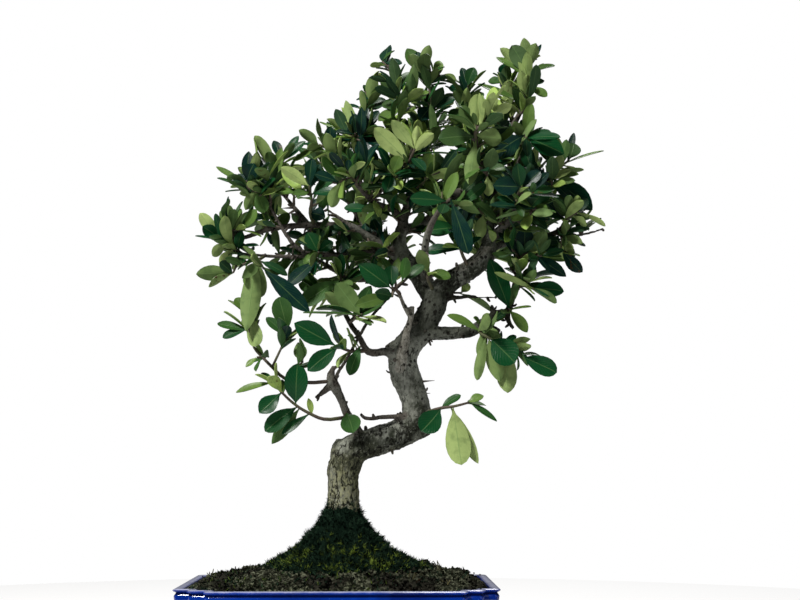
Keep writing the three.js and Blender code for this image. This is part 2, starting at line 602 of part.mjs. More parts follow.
// Largest body of a solid, without the slivers of its joins: loose scraps of a cut are dropped
function largest(solid, finest = SLIVER) {
  const biggest = (whole) => whole.decompose().sort((a, b) => b.volume() - a.volume())[0];
  return biggest(solidOf(geometryOf(biggest(solid))).simplify(finest));
}

// Round stem that follows its points, with a radius at each
function stemSolid(points, sides, perSpan, grow = 0) {
  const curve = new THREE.CatmullRomCurve3(points.map(seen), false, "centripetal");
  const steps = (points.length - 1) * perSpan;
  const frames = curve.computeFrenetFrames(steps, false);
  const geometry = new THREE.CylinderGeometry(1, 1, 1, sides, steps);
  const position = geometry.attributes.position;
  const place = new THREE.Vector3();
  for (let i = 0; i < position.count; i++) {
    const ring = Math.round((position.getY(i) + 0.5) * steps);
    const t = curve.getUtoTmapping(ring / steps);
    const span = Math.min(Math.floor(t * (points.length - 1)), points.length - 2);
    const share = t * (points.length - 1) - span;
    const radius = THREE.MathUtils.lerp(points[span][3], points[span + 1][3], share) + grow;
    curve.getPoint(t, place);
    place.addScaledVector(frames.normals[ring], position.getX(i) * radius);
    place.addScaledVector(frames.binormals[ring], -position.getZ(i) * radius);
    position.setXYZ(i, place.x, place.y, place.z);
  }
  return solidOf(geometry);
}

// Notched outline of the pot
function potOutline(round) {
  const side = POT_WIDTH / 2;
  const front = POT_DEPTH / 2;
  const quarter = [
    [side, front - STEP_Y[0] - STEP_Y[1]],
    [side - STEP_X[0], front - STEP_Y[0] - STEP_Y[1]],
    [side - STEP_X[0], front - STEP_Y[1]],
    [side - STEP_X[0] - STEP_X[1], front - STEP_Y[1]],
    [side - STEP_X[0] - STEP_X[1], front],
  ];
  const turned = (x, y) => quarter.map((point) => new THREE.Vector2(point[0] * x, point[1] * y));
  const corners = [
    ...turned(1, 1),
    ...turned(-1, 1).reverse(),
    ...turned(-1, -1),
    ...turned(1, -1).reverse(),
  ];
  const shape = new THREE.Shape();
  corners.forEach((corner, i) => {
    const before = corners[(i + corners.length - 1) % corners.length];
    const after = corners[(i + 1) % corners.length];
    const start = before.clone().sub(corner).setLength(round).add(corner);
    const end = after.clone().sub(corner).setLength(round).add(corner);
    const outward = end.clone().sub(corner).cross(start.clone().sub(corner)) > 0;
    const first = outward ? start : corner;
    if (i === 0) shape.moveTo(first.x, first.y);
    else shape.lineTo(first.x, first.y);
    if (outward) shape.quadraticCurveTo(corner.x, corner.y, end.x, end.y);
  });
  return shape;
}

// The pot's outline carried up through heights, each with its distance in from the outline
function potLoft(levels, cuts, shrink = 0) {
  const geometry = new THREE.ExtrudeGeometry(potOutline(EDGE_ROUND), {
    depth: 1,
    steps: levels.length - 1,
    bevelEnabled: false,
    curveSegments: cuts,
  });
  const position = geometry.attributes.position;
  for (let i = 0; i < position.count; i++) {
    const [height, inset] = levels[Math.round(position.getZ(i) * (levels.length - 1))];
    const x = position.getX(i);
    const y = position.getY(i);
    const move = inset + shrink;
    position.setXYZ(i, x - Math.sign(x) * move, y - Math.sign(y) * move, height);
  }
  return solidOf(geometry);
}

function box(width, depth, height, x, y, z) {
  return solidOf(new THREE.BoxGeometry(width, depth, height).translate(x, y, z));
}

function makePot() {
  const corner = [];
  for (const x of [-1, 1])
    for (const y of [-1, 1])
      corner.push(
        box(FOOT_REACH[0] * 2, FOOT_REACH[1] * 2, 60, (x * POT_WIDTH) / 2, (y * POT_DEPTH) / 2, 0),
      );
  const feet = potLoft([[0, FOOT_OUTSIDE + 3], [FOOT_HEIGHT, FOOT_OUTSIDE]], 1)
    .subtract(potLoft([[-1, FOOT_INSIDE], [FOOT_HEIGHT + 1, FOOT_INSIDE]], 1))
    .intersect(Manifold.union(corner));
  const drains = [-1, 1].map((side) =>
    solidOf(
      new THREE.CylinderGeometry(DRAIN_DIAMETER / 2, DRAIN_DIAMETER / 2, 40, 14)
        .rotateX(Math.PI / 2)
        .translate(side * DRAIN_X, 0, 0),
    ),
  );
  const walls = potLoft(WALL_OUTSIDE, 2).subtract(potLoft(WALL_INSIDE, 1));
  return largest(walls.add(feet).subtract(Manifold.union(drains)));
}

// Height of the mound at a place, and the lumps on a surface
function moundHeight(x, y) {
  const away = Math.hypot(x - MOUND_CENTRE[0], y - MOUND_CENTRE[1]);
  return MOUND_FOOT + MOUND_RISE * Math.exp(-away / MOUND_SPREAD);
}

function lumps(x, y) {
  return Math.sin(x * 0.31 + 1.3) * Math.cos(y * 0.27) + 0.6 * Math.sin(x * 0.13 - y * 0.19 + 2);
}

function soilHeight(x, y) {
  const wall = WALL_INSIDE[2][1];
  const room = Math.min(POT_WIDTH / 2 - wall - Math.abs(x), POT_DEPTH / 2 - wall - Math.abs(y));
  const full = THREE.MathUtils.smoothstep(room, 0, SOIL_EDGE_WIDTH);
  return THREE.MathUtils.lerp(SOIL_EDGE, moundHeight(x, y) - 1 + lumps(x, y), full);
}

// How far the moss spreads in a direction
function mossReach(turn) {
  return MOSS_REACH * (1 + 0.1 * Math.sin(2 * turn + 2.4) + 0.07 * Math.sin(3 * turn + 1));
}

// Ring-shaped body round the trunk: rings as a share of the moss's reach and a height at each
// place. The rings go outwards along its underside, or along its top where it is given as turned.
function aroundTrunk(rings, turned = false) {
  const profile = rings.map(([share], i) => new THREE.Vector2(share, i));
  profile.push(profile[0].clone());
  const geometry = new THREE.LatheGeometry(profile, SECTORS);
  const position = geometry.attributes.position;
  for (let i = 0; i < position.count; i++) {
    const turn = Math.atan2(position.getZ(i), position.getX(i));
    const [share, height] = rings[Math.round(position.getY(i)) % rings.length];
    const x = MOUND_CENTRE[0] + Math.cos(turn) * share * mossReach(turn);
    const y = MOUND_CENTRE[1] - Math.sin(turn) * share * mossReach(turn);
    position.setXYZ(i, x, y, height(x, y));
  }
  if (turned) geometry.index.array.reverse();
  return solidOf(geometry);
}

const TRUNK_SHARE = 0.12;
const UNDER_MOSS = [0.34, 0.62];

function makeSoil(trunkRoom) {
  const bed = (x, y) => moundHeight(x, y) - MOSS_THICK - 2 * GAP;
  const bottom = () => FLOOR_TOP + GAP;
  const rings = [[TRUNK_SHARE, bottom], [TRUNK_SHARE, bed]];
  UNDER_MOSS.forEach((share) => rings.push([share, bed]));
  rings.push([1.01, bed], [1.05, soilHeight], [1.3, soilHeight], [1.6, soilHeight], [2.4, soilHeight]);
  rings.push([2.4, bottom]);
  return largest(aroundTrunk(rings, true).intersect(potLoft(WALL_INSIDE, 1, GAP)).subtract(trunkRoom));
}

function makeMoss(trunkRoom) {
  const under = (x, y) => moundHeight(x, y) - MOSS_THICK;
  const top = (x, y) => moundHeight(x, y) + 0.7 * lumps(1.7 * x, 1.7 * y);
  const rings = [[TRUNK_SHARE, top], [TRUNK_SHARE, under]];
  UNDER_MOSS.forEach((share) => rings.push([share, under]));
  rings.push([1, under], [0.97, top], [0.8, top], [0.64, top], [0.5, top], [0.38, top], [0.28, top]);
  return largest(aroundTrunk(rings).subtract(trunkRoom));
}

function makeTrunk(grow = 0) {
  const parts = [stemSolid(TRUNK, 10, 1, grow)];
  for (const branch of BRANCHES) {
    const thick = Math.max(...branch.map((point) => point[3]));
    let sides = 4;
    if (thick > 6) sides = 7;
    else if (thick > 2.8) sides = 5;
    parts.push(stemSolid(branch, sides, 1, grow));
  }
  return Manifold.union(parts);
}

// Directions of a leaf's blade: along the midrib, across it, and out of its upper side
function bladeFrame(leaf) {
  const along = leaf.tip.clone().sub(leaf.base);
  const length = along.length();
  along.divideScalar(length);
  const normal = leaf.face.clone().addScaledVector(along, -leaf.face.dot(along)).normalize();
  return { along, length, normal, across: along.clone().cross(normal) };
}

// Thin folded blade, pointed at both ends. It may be grown all round, and start part way along.
function bladeSolid(leaf, grow = 0, start = 0) {
  const { along, length, normal, across } = bladeFrame(leaf);
  const root = leaf.base.clone().addScaledVector(along, ROOT_OUT);
  const half = leaf.width / 2;
  const vertices = [];
  for (const side of [1, -1])
    for (const [share, spread] of LEAF_OUTLINE) {
      const reach = start + share * (1 - start);
      const place = root.clone();
      place.addScaledVector(along, reach * (length - ROOT_OUT) + grow * (share * 2 - 1));
      place.addScaledVector(across, spread * half + Math.sign(spread) * grow);
      place.addScaledVector(normal, Math.abs(spread) * LEAF_FOLD * leaf.width);
      if (spread || !share) place.addScaledVector(normal, side * (LEAF_THICK / 2 + grow));
      vertices.push(place.x, place.y, place.z);
    }
  const count = LEAF_OUTLINE.length;
  const under = (i) => (i === TIP ? TIP : count + i);
  const faces = [];
  for (const [a, b, c] of [[0, 1, 3], [1, 2, 3], [3, 4, 5], [0, 3, 5]])
    faces.push(a, b, c, under(a), under(c), under(b));
  for (let i = 0; i < count; i++) {
    const next = (i + 1) % count;
    if (i !== TIP) faces.push(i, under(i), under(next));
    if (next !== TIP) faces.push(i, under(next), next);
  }
  const geometry = new THREE.BufferGeometry();
  geometry.setAttribute("position", new THREE.Float32BufferAttribute(vertices, 3));
  geometry.setIndex(faces);
  return solidOf(geometry);
}

const UP = new THREE.Vector3(0, 0, 1);
const TO_FRONT = new THREE.Vector3(0, -1, 0);

// A leaf given by its tip. Each further try bends it a little forwards or back.
function placedLeaf(twig, order, [across, up, depth, width, turned], attempt) {
  const bend = (attempt % 2 ? 1 : -1) * Math.ceil(attempt / 2) * 3;
  const face = UP.clone().multiplyScalar(1 - Math.abs(turned)).addScaledVector(TO_FRONT, turned);
  return {
    base: twig.end.clone().addScaledVector(twig.axis, -LEAF_SPACING * order),
    tip: seen([across, up, twig.depth + depth + bend]),
    width,
    face: face.addScaledVector(TO_FRONT, 0.05),
  };
}

// A leaf set round its twig by rule. Each further try turns it round the twig.
function roundLeaf(twig, order, seed, attempt) {
  const draw = draws(seed);
  const turn = order * GOLDEN_TURN + draw() * 0.8 + attempt * 0.5;
  const lean = 0.55 + 0.6 * draw();
  const length = 15 + 10 * draw();
  const out = UP.clone().cross(twig.axis);
  if (out.length() < 0.2) out.set(1, 0, 0).cross(twig.axis);
  out.normalize().applyAxisAngle(twig.axis, turn);
  const along = twig.axis.clone().multiplyScalar(Math.cos(lean)).addScaledVector(out, Math.sin(lean));
  along.addScaledVector(UP, 0.25).normalize();
  const base = twig.end.clone().addScaledVector(twig.axis, -LEAF_SPACING * order);
  return {
    base,
    tip: base.clone().addScaledVector(along, length),
    width: length * (0.38 + 0.08 * draw()),
    face: twig.axis.clone().multiplyScalar(0.7).addScaledVector(UP, 0.6),
  };
}

// Wood of a leafy branch, and the twig end of each of its heads
function makeTwigs({ stem, heads }) {
  const last = stem.length - 1;
  const radius = (i) => THREE.MathUtils.lerp(TWIG_FOOT, TWIG_TIP, i / last);
  const parts = [stemSolid(stem.map((point, i) => [...point, radius(i)]), 4, 1)];
  const ends = heads.map(({ stemPoint, place }) => {
    const foot = stem[stemPoint];
    const before = place ? foot : stem[Math.max(stemPoint - 1, 0)];
    const at = place ?? foot;
    if (place) parts.push(stemSolid([[...foot, TWIG_TIP], [...place, TWIG_TIP]], 3, 1));
    const end = seen(at);
    return { end, depth: at[2], axis: end.clone().sub(seen(before)).normalize() };
  });
  return { wood: Manifold.union(parts), ends };
}

function boxOf(solid) {
  const { min, max } = solid.boundingBox();
  return new THREE.Box3(new THREE.Vector3(...min), new THREE.Vector3(...max));
}

function crosses(solid, bounds, others) {
  return others.some(
    (other) => bounds.intersectsBox(other.bounds) && !solid.intersect(other.solid).isEmpty(),
  );
}

// All the leafy branches. Every leaf is bent clear of the other branches, and of the leaves of its
// own branch where it can be; one that finds no room is left out.
function makeSprays(trunk, trunkRoom) {
  const sprays = Object.entries(SPRAYS).map(([name, spray], number) => {
    const { wood, ends } = makeTwigs(spray);
    return { name, spray, number, ends, wood: largest(wood.subtract(trunkRoom)), leaves: [] };
  });
  const firm = [{ solid: trunk, bounds: boxOf(trunk), owner: -1 }];
  sprays.forEach(({ wood, number }) => firm.push({ solid: wood, bounds: boxOf(wood), owner: number }));
  const outer = [];
  const setLeaf = (item, make) => {
    let spare = null;
    for (let attempt = 0; attempt < LEAF_TRIES; attempt++) {
      const leaf = make(attempt);
      const wide = bladeSolid(leaf, GAP + 0.05);
      const others = firm.filter((one) => one.owner !== item.number);
      if (crosses(wide, boxOf(wide), others)) continue;
      spare ??= leaf;
      const tip = bladeSolid(leaf, 0.1, 0.35);
      if (crosses(tip, boxOf(tip), outer.filter((one) => one.owner === item.number))) continue;
      spare = leaf;
      break;
    }
    if (!spare) return;
    const solid = bladeSolid(spare);
    const tip = bladeSolid(spare, 0, 0.35);
    item.leaves.push(solid);
    firm.push({ solid, bounds: boxOf(solid), owner: item.number });
    outer.push({ solid: tip, bounds: boxOf(tip), owner: item.number });
  };
  for (const item of sprays)
    item.spray.heads.forEach(({ leaves }, h) =>
      leaves.forEach((leaf, order) =>
        setLeaf(item, (attempt) => placedLeaf(item.ends[h], order, leaf, attempt)),
      ),
    );
  for (const item of sprays)
    item.spray.heads.forEach(({ leaves, more }, h) => {
      for (let i = 0; i < more; i++) {
        const seed = (item.number + 1) * 1000 + h * 50 + i;
        setLeaf(item, (attempt) => roundLeaf(item.ends[h], leaves.length + i, seed, attempt));
      }
    });
  return sprays.map(({ name, wood, leaves }) => ({
    name,
    solid: largest(Manifold.union([wood, ...leaves]), LEAF_SLIVER),
  }));
}

// Materials
const glaze = { color: 0x10309a, roughness: 0.12, metalness: 0 };
const earth = { color: 0x2e2620, roughness: 1, metalness: 0 };
const mossGreen = { color: 0x3b5a1c, roughness: 1, metalness: 0 };
const bark = { color: 0x6d6a5f, roughness: 0.9, metalness: 0 };
const leafGreen = { color: 0x2c5a26, roughness: 0.45, metalness: 0 };

function piece(name, solid, finish) {
  const mesh = new THREE.Mesh(geometryOf(solid), new THREE.MeshStandardMaterial(finish));
  mesh.name = name;
  return mesh;
}

const bonsai = new THREE.Group();
const trunk = largest(makeTrunk(), BARK_SLIVER);
const trunkRoom = makeTrunk(GAP);
bonsai.add(piece("pot", makePot(), glaze));
bonsai.add(piece("soil", makeSoil(trunkRoom), earth));
bonsai.add(piece("moss", makeMoss(trunkRoom), mossGreen));
bonsai.add(piece("trunk", trunk, bark));
for (const { name, solid } of makeSprays(trunk, trunkRoom))
  bonsai.add(piece("spray_" + name, solid, leafGreen));

export default bonsai;
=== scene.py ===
"""Firethorn bonsai in a blue glazed pot, dressed over its solids. Metres, +Z up, front towards -Y.
The sections follow the tree's potting: pot, soil, trunk, moss, leafy branches, then the studio."""
import math
from functools import partial
import bmesh
import bpy
from mathutils import Matrix, Vector, geometry, noise
from mathutils.bvhtree import BVHTree
from mathutils.kdtree import KDTree


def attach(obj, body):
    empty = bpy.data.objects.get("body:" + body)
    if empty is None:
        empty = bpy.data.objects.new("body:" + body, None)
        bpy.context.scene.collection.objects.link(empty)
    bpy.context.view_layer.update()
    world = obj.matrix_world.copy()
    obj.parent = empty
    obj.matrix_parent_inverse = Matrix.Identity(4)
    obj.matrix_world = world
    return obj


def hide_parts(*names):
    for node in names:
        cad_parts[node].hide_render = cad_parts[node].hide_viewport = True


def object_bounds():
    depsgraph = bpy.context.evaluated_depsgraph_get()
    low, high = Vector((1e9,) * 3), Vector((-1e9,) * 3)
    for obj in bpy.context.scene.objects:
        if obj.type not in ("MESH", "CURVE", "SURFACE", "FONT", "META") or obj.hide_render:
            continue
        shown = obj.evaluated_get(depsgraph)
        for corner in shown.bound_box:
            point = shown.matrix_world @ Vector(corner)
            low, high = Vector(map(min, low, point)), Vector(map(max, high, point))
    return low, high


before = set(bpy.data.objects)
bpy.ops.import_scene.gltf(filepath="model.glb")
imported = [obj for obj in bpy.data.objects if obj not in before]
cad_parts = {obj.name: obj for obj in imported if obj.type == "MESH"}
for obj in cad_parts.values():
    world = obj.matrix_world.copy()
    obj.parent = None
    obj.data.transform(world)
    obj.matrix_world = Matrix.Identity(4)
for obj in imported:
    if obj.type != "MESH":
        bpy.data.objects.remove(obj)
cad_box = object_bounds()
MM = 0.001


# Pot: one piece of stoneware, pressed in a mould with two-step notched corners and four corner
# feet, dipped in cobalt glaze and fired. The glaze breaks pale on the thin lip and on the sharp
# edges, and is wiped off the feet and the underside. The pale top of the lip is partly a painted
# highlight, and the groove under the lip is darkened as painted shade.
POT_HALF = (107.5, 81.5)
POT_STEPS = ((10.6, 10), (12, 10))
POT_EDGE_ROUND = 3.2
POT_NOTCH_ROUND = 1.2
# Height and inset from the widest outline: up the outside, over the lip and down the inside
POT_WALL = [
    (2.5, 22), (3.2, 19), (5.5, 15.5), (9, 13), (15, 9.4), (22, 6.5), (34, 4.3), (48, 2.5), (60, 1.1),
    (63.3, 0.8), (64.4, 1.4), (65.2, 2), (65.8, 1.5), (66.3, 0.5), (66.9, 0), (67.4, 0.2), (67.8, 1),
    (68, 2.4), (67.9, 4.4), (67.3, 5.9), (65.8, 6.6), (45, 9), (24, 14), (14, 17.5), (10.5, 20), (9.5, 22),
]
FOOT_WALL = [(9.2, 9), (5, 10.4), (1, 11.9), (0, 13), (0, 24), (0.8, 24.8), (9, 25)]
# What a foot keeps of the ring under the pot: a block round the corner, across, deep and tall
FOOT_BLOCK = (94, 84, 40)
DRAIN_RADIUS = 6
DRAIN_X = 46
DRAIN_DEPTH = 40


def data_of(name, mesh):
    """Mesh data that takes up a finished bmesh."""
    data = bpy.data.meshes.new(name)
    mesh.to_mesh(data)
    mesh.free()
    return data


def object_of(name, mesh, *finishes):
    """Object at the origin that holds a finished bmesh and its materials."""
    data = data_of(name, mesh)
    for finish in finishes:
        data.materials.append(finish)
    piece = bpy.data.objects.new(name, data)
    bpy.context.scene.collection.objects.link(piece)
    return piece


def mesh_of(piece):
    """Bmesh of a piece, to be shaped further."""
    mesh = bmesh.new()
    mesh.from_mesh(piece.data)
    return mesh


def apply_modifiers(piece, *modifiers):
    """Applies modifiers, each given as its type and settings, to a piece's mesh."""
    for kind, settings in modifiers:
        modifier = piece.modifiers.new(kind.title(), kind)
        for key, value in settings.items():
            setattr(modifier, key, value)
    evaluated = piece.evaluated_get(bpy.context.evaluated_depsgraph_get())
    data = bpy.data.meshes.new_from_object(evaluated)
    piece.modifiers.clear()
    piece.data = data


def carve(piece, cutter, operation):
    """Joins, cuts or keeps what a piece shares with a cutter, which is then removed."""
    apply_modifiers(piece, ("BOOLEAN", {"object": cutter, "operation": operation, "solver": "EXACT"}))
    bpy.data.objects.remove(cutter)


def shade_smooth(piece, degrees):
    """Smooth faces, with edges sharper than an angle kept crisp."""
    mesh = mesh_of(piece)
    for face in mesh.faces:
        face.smooth = True
    for edge in mesh.edges:
        edge.smooth = len(edge.link_faces) == 2 and edge.calc_face_angle(0) < math.radians(degrees)
    mesh.to_mesh(piece.data)
    mesh.free()


def move_in(vert, inset):
    """Moves a point of the pot's wall inwards, across and deep alike."""
    vert.co.x -= inset * MM * math.copysign(1, vert.co.x)
    vert.co.y -= inset * MM * math.copysign(1, vert.co.y)


def pot_outline(mesh, height, inset):
    """Flat face of the notched outline, with its corners rounded."""
    (x1, y1), (x2, y2) = POT_STEPS
    side, front = POT_HALF
    quarter = [(side, front - y1 - y2), (side - x1, front - y1 - y2), (side - x1, front - y2),
               (side - x1 - x2, front - y2), (side - x1 - x2, front)]
    verts = []
    for x, y, order in ((1, 1, 1), (-1, 1, -1), (-1, -1, 1), (1, -1, -1)):
        verts += [mesh.verts.new(Vector((across * x, deep * y, 0)) * MM) for across, deep in quarter[::order]]
    mesh.faces.new(verts)
    notched = [vert for i, vert in enumerate(verts) if i % len(quarter) in (1, 3)]
    standing = [vert for vert in verts if vert not in notched]
    for corners, offset, segments in ((standing, POT_EDGE_ROUND, 4), (notched, POT_NOTCH_ROUND, 2)):
        bmesh.ops.bevel(mesh, geom=corners, offset=offset * MM, affect="VERTICES", segments=segments,
                        profile=0.5, material=-1)
    for vert in mesh.verts:
        move_in(vert, inset)
        vert.co.z = height * MM


def pot_form(levels):
    """Solid drawn up from its first outline through heights and insets, and closed at the last."""
    mesh = bmesh.new()
    pot_outline(mesh, *levels[0])
    top = list(mesh.faces)
    for before, (height, inset) in zip(levels, levels[1:]):
        drawn = bmesh.ops.extrude_face_region(mesh, geom=top)["geom"]
        if before != levels[0]:
            bmesh.ops.delete(mesh, geom=top, context="FACES_ONLY")
        top = [item for item in drawn if isinstance(item, bmesh.types.BMFace)]
        for vert in {v for face in top for v in face.verts}:
            move_in(vert, inset - before[1])
            vert.co.z = height * MM
    bmesh.ops.recalc_face_normals(mesh, faces=mesh.faces)
    return mesh


pot = object_of("glazed_pot", pot_form(POT_WALL))
pot_feet = object_of("pot_feet", pot_form(FOOT_WALL))
foot_blocks = bmesh.new()
drains = bmesh.new()
for side in (-1, 1):
    for front in (-1, 1):
        corner = Vector((side * POT_HALF[0], front * POT_HALF[1], 0)) * MM
        block = bmesh.ops.create_cube(foot_blocks, size=1)["verts"]
        bmesh.ops.scale(foot_blocks, verts=block, vec=Vector(FOOT_BLOCK) * MM)
        bmesh.ops.translate(foot_blocks, verts=block, vec=corner)
    bmesh.ops.create_cone(drains, segments=32, radius1=DRAIN_RADIUS * MM, radius2=DRAIN_RADIUS * MM,
                          depth=DRAIN_DEPTH * MM, cap_ends=True,
                          matrix=Matrix.Translation((side * DRAIN_X * MM, 0, 0)))
carve(pot_feet, object_of("foot_blocks", foot_blocks), "INTERSECT")
carve(pot, pot_feet, "UNION")
carve(pot, object_of("drains", drains), "DIFFERENCE")


class Finish:
    """A material's nodes, added one by one: each call returns the new node's output."""

    def __init__(self, name, **surface):
        self.material = bpy.data.materials.new(name)
        self.material.use_nodes = True
        self.tree = self.material.node_tree
        self.shader = self.tree.nodes["Principled BSDF"]
        for socket, value in surface.items():
            socket = socket.replace("_", " ").title().replace("Ior", "IOR")
            self.shader.inputs[socket].default_value = value
        self.place = self.node("ShaderNodeTexCoord").outputs["Object"]

    def node(self, kind, settings=None, **inputs):
        node = self.tree.nodes.new(kind)
        for key, value in (settings or {}).items():
            setattr(node, key, value)
        for socket, value in inputs.items():
            self.feed(node.inputs[socket.replace("_", " ")], value)
        return node

    def feed(self, socket, value):
        if isinstance(value, bpy.types.NodeSocket):
            self.tree.links.new(value, socket)
        else:
            socket.default_value = (*value, 1) if socket.type == "RGBA" else value

    def math(self, operation, a, b=0.0):
        node = self.node("ShaderNodeMath", {"operation": operation})
        self.feed(node.inputs[0], a)
        self.feed(node.inputs[1], b)
        return node.outputs[0]

    def ramp(self, value, low, high, out_low=0.0, out_high=1.0):
        """Smooth step of a value between two limits."""
        return self.node("ShaderNodeMapRange", {"interpolation_type": "SMOOTHSTEP"}, Value=value,
                         From_Min=low, From_Max=high, To_Min=out_low, To_Max=out_high).outputs["Result"]

    def mix(self, share, a, b):
        return self.node("ShaderNodeMix", {"data_type": "RGBA"}, Factor=share, A=a, B=b).outputs["Result"]

    def noise(self, scale, detail=3.0, stretch=(1, 1, 1), rough=0.5):
        """Noise with its grains about 1 / scale metres wide, drawn out along an axis by stretch."""
        mapped = self.node("ShaderNodeMapping", Vector=self.place, Scale=stretch).outputs["Vector"]
        return self.node("ShaderNodeTexNoise", Vector=mapped, Scale=scale, Detail=detail,
                         Roughness=rough).outputs["Fac"]

    def height(self, stray=0.0, scale=1.0, detail=2.0):
        """Height above the ground in metres, which noise can make stray."""
        height = self.node("ShaderNodeSeparateXYZ", Vector=self.place).outputs["Z"]
        if not stray:
            return height
        return self.math("ADD", height, self.math("MULTIPLY", self.noise(scale, detail), stray))

    def painted(self, name):
        """Red, Green and Blue of a colour attribute."""
        colour = self.node("ShaderNodeAttribute", {"attribute_name": name}).outputs["Color"]
        return self.node("ShaderNodeSeparateColor", Color=colour).outputs

    def bump(self, height, strength, distance):
        bump = self.node("ShaderNodeBump", Strength=strength, Distance=distance, Height=height)
        self.feed(self.shader.inputs["Normal"], bump.outputs["Normal"])

    def colour(self, value):
        self.feed(self.shader.inputs["Base Color"], value)
        return self.material


def cobalt_glaze():
    """Cobalt glaze in deep and brighter patches, darkened in the groove under the lip as painted shade, pale
    on the lip where it runs thin and partly as a painted highlight, with fired streaks.
    """
    glaze = Finish("cobalt_glaze", coat_weight=0.2, coat_roughness=0.04, specular_ior_level=0.35)
    deep, cobalt, pale_lip_and_highlight = (0.0, 0.01, 0.13), (0.0, 0.028, 0.27), (0.55, 0.57, 0.74)
    blue = glaze.mix(glaze.ramp(glaze.noise(22, 3), 0.3, 0.7), deep, cobalt)
    streaks = glaze.ramp(glaze.noise(70, 4, (1, 1, 0.12)), 0.56, 0.76, 0, 0.4)
    blue = glaze.mix(streaks, blue, (0.002, 0.045, 0.36))
    specks = glaze.ramp(glaze.noise(900, 1), 0.72, 0.8, 0, 0.6)
    blue = glaze.mix(specks, blue, (0.06, 0.14, 0.45))
    height = glaze.height()
    # Painted shade: the groove under the lip is darkened towards navy.
    groove_shade = glaze.math("MULTIPLY", glaze.ramp(height, 0.0634, 0.0648), glaze.ramp(height, 0.0666, 0.0656))
    blue = glaze.mix(glaze.math("MULTIPLY", groove_shade, 0.75), blue, (0.002, 0.004, 0.05))
    # Pale on the top of the lip: partly where the glaze runs thin, partly a painted highlight.
    blue = glaze.mix(glaze.ramp(glaze.height(0.0008, 160), 0.0674, 0.0685, 0, 0.8), blue, pale_lip_and_highlight)
    clay = glaze.mix(glaze.noise(600, 2), (0.2, 0.12, 0.07), (0.33, 0.21, 0.13))
    wiped = glaze.ramp(glaze.height(0.002, 60), 0.0034, 0.0026)
    glaze.feed(glaze.shader.inputs["Roughness"], glaze.ramp(wiped, 0, 1, 0.1, 0.8))
    glaze.bump(glaze.noise(45, 2), 0.12, 0.002)
    return glaze.colour(glaze.mix(wiped, blue, clay))


pot.data.materials.append(cobalt_glaze())
shade_smooth(pot, 40)
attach(pot, "root")
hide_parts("pot")


# Soil: dark, crumbly potting mix of bark, peat and grit. It fills the pot to just under the lip,
# and is heaped by hand round the trunk's foot, with loose crumbs, root ends and straw on it.
SOIL_INSIDE = [(9.8, 21.6), (14, 17.2), (24, 13.7), (45, 8.7), (66, 6.45), (150, 6.45)]
SOIL_HALF = (102, 76)
SOIL_CELLS = (170, 126)
SOIL_UNDERSIDE = 5
SOIL_EDGE = 66
SOIL_EDGE_WIDTH = 15
LIP_WIDTH = 6.5
LIP_TOP = 68.3
MOUND_CENTRE = (2, 0)
MOUND_FOOT = 69
MOUND_RISE = 75
MOUND_SPREAD = 26
MOSS_REACH = 56
# How far the soil lies under the mound's form: under the moss, and how much less where it is bare
UNDER_MOSS = 5
BARE_RISE = 4
# Heaps beside the mound: place, reach and rise
SOIL_HEAPS = [(-83, -20, 9, 3.5), (-70, 26, 8, 3), (62, 24, 13, 5), (70, -18, 9, 3), (86, 30, 8, 3),
              (-52, -40, 10, 2.5), (40, -52, 9, 2)]
HANDFULS = 15
CRUMBS_IN_HANDFUL = 100
CRUMB_FIELD = (99, 73)
CRUMB_NOTCH = (88, 64)
MOSS_HEART = 34
# Crumbs that were spilt on the pot's lip: place and size
SPILT_CRUMBS = [(-97.5, 62, 1.1), (93, 77.2, 1.0), (96.5, 76, 0.7), (99, 68, 0.8), (102.5, 55, 0.7),
                (-101, 40, 0.7)]
# Root ends and straws that stand up from the soil: place, length and how pale they are
STRAWS = [(60, -14, 7, 0), (68, -20, 8, 0.1), (80, -24, 6, 0), (84, 8, 7, 0), (91, -12, 5, 0.1),
          (-75, -10, 6, 0), (-66, -26, 7, 0), (-87, -20, 5, 0.1), (72, -60, 4, 0.33), (50, -50, 6, 0.15)]
STRAW_ENDS = (0.55, 0.25)


def smooth_step(value, low, high):
    share = min(max((value - low) / (high - low), 0), 1)
    return share * share * (3 - 2 * share)


def from_mound(x, y):
    return math.hypot(x - MOUND_CENTRE[0], y - MOUND_CENTRE[1])


def mound_height(x, y):
    return MOUND_FOOT + MOUND_RISE * math.exp(-from_mound(x, y) / MOUND_SPREAD)


def lumps(x, y):
    """Low swellings, as a hand leaves them, from -1.6 to 1.6."""
    return math.sin(x * 0.31 + 1.3) * math.cos(y * 0.27) + 0.6 * math.sin(x * 0.13 - y * 0.19 + 2)


def moss_reach(turn):
    """How far the moss reaches from the mound's centre in one direction."""
    return MOSS_REACH * (1 + 0.1 * math.sin(2 * turn + 2.4) + 0.07 * math.sin(3 * turn + 1))


def soil_height(x, y):
    """Height of the soil's surface, in millimetres, without its crumbs. It dips under the moss."""
    turn = math.atan2(y, x - MOUND_CENTRE[0])
    bare = smooth_step(from_mound(x, y) / moss_reach(turn), 0.88, 1.02)
    room = min(POT_HALF[0] - LIP_WIDTH - abs(x), POT_HALF[1] - LIP_WIDTH - abs(y))
    heaps = sum(rise * math.exp(-((x - at_x) ** 2 + (y - at_y) ** 2) / reach ** 2)
                for at_x, at_y, reach, rise in SOIL_HEAPS)
    inner = mound_height(x, y) - UNDER_MOSS + bare * (BARE_RISE + lumps(x, y))
    return SOIL_EDGE + (inner - SOIL_EDGE + heaps) * smooth_step(room, 0, SOIL_EDGE_WIDTH)


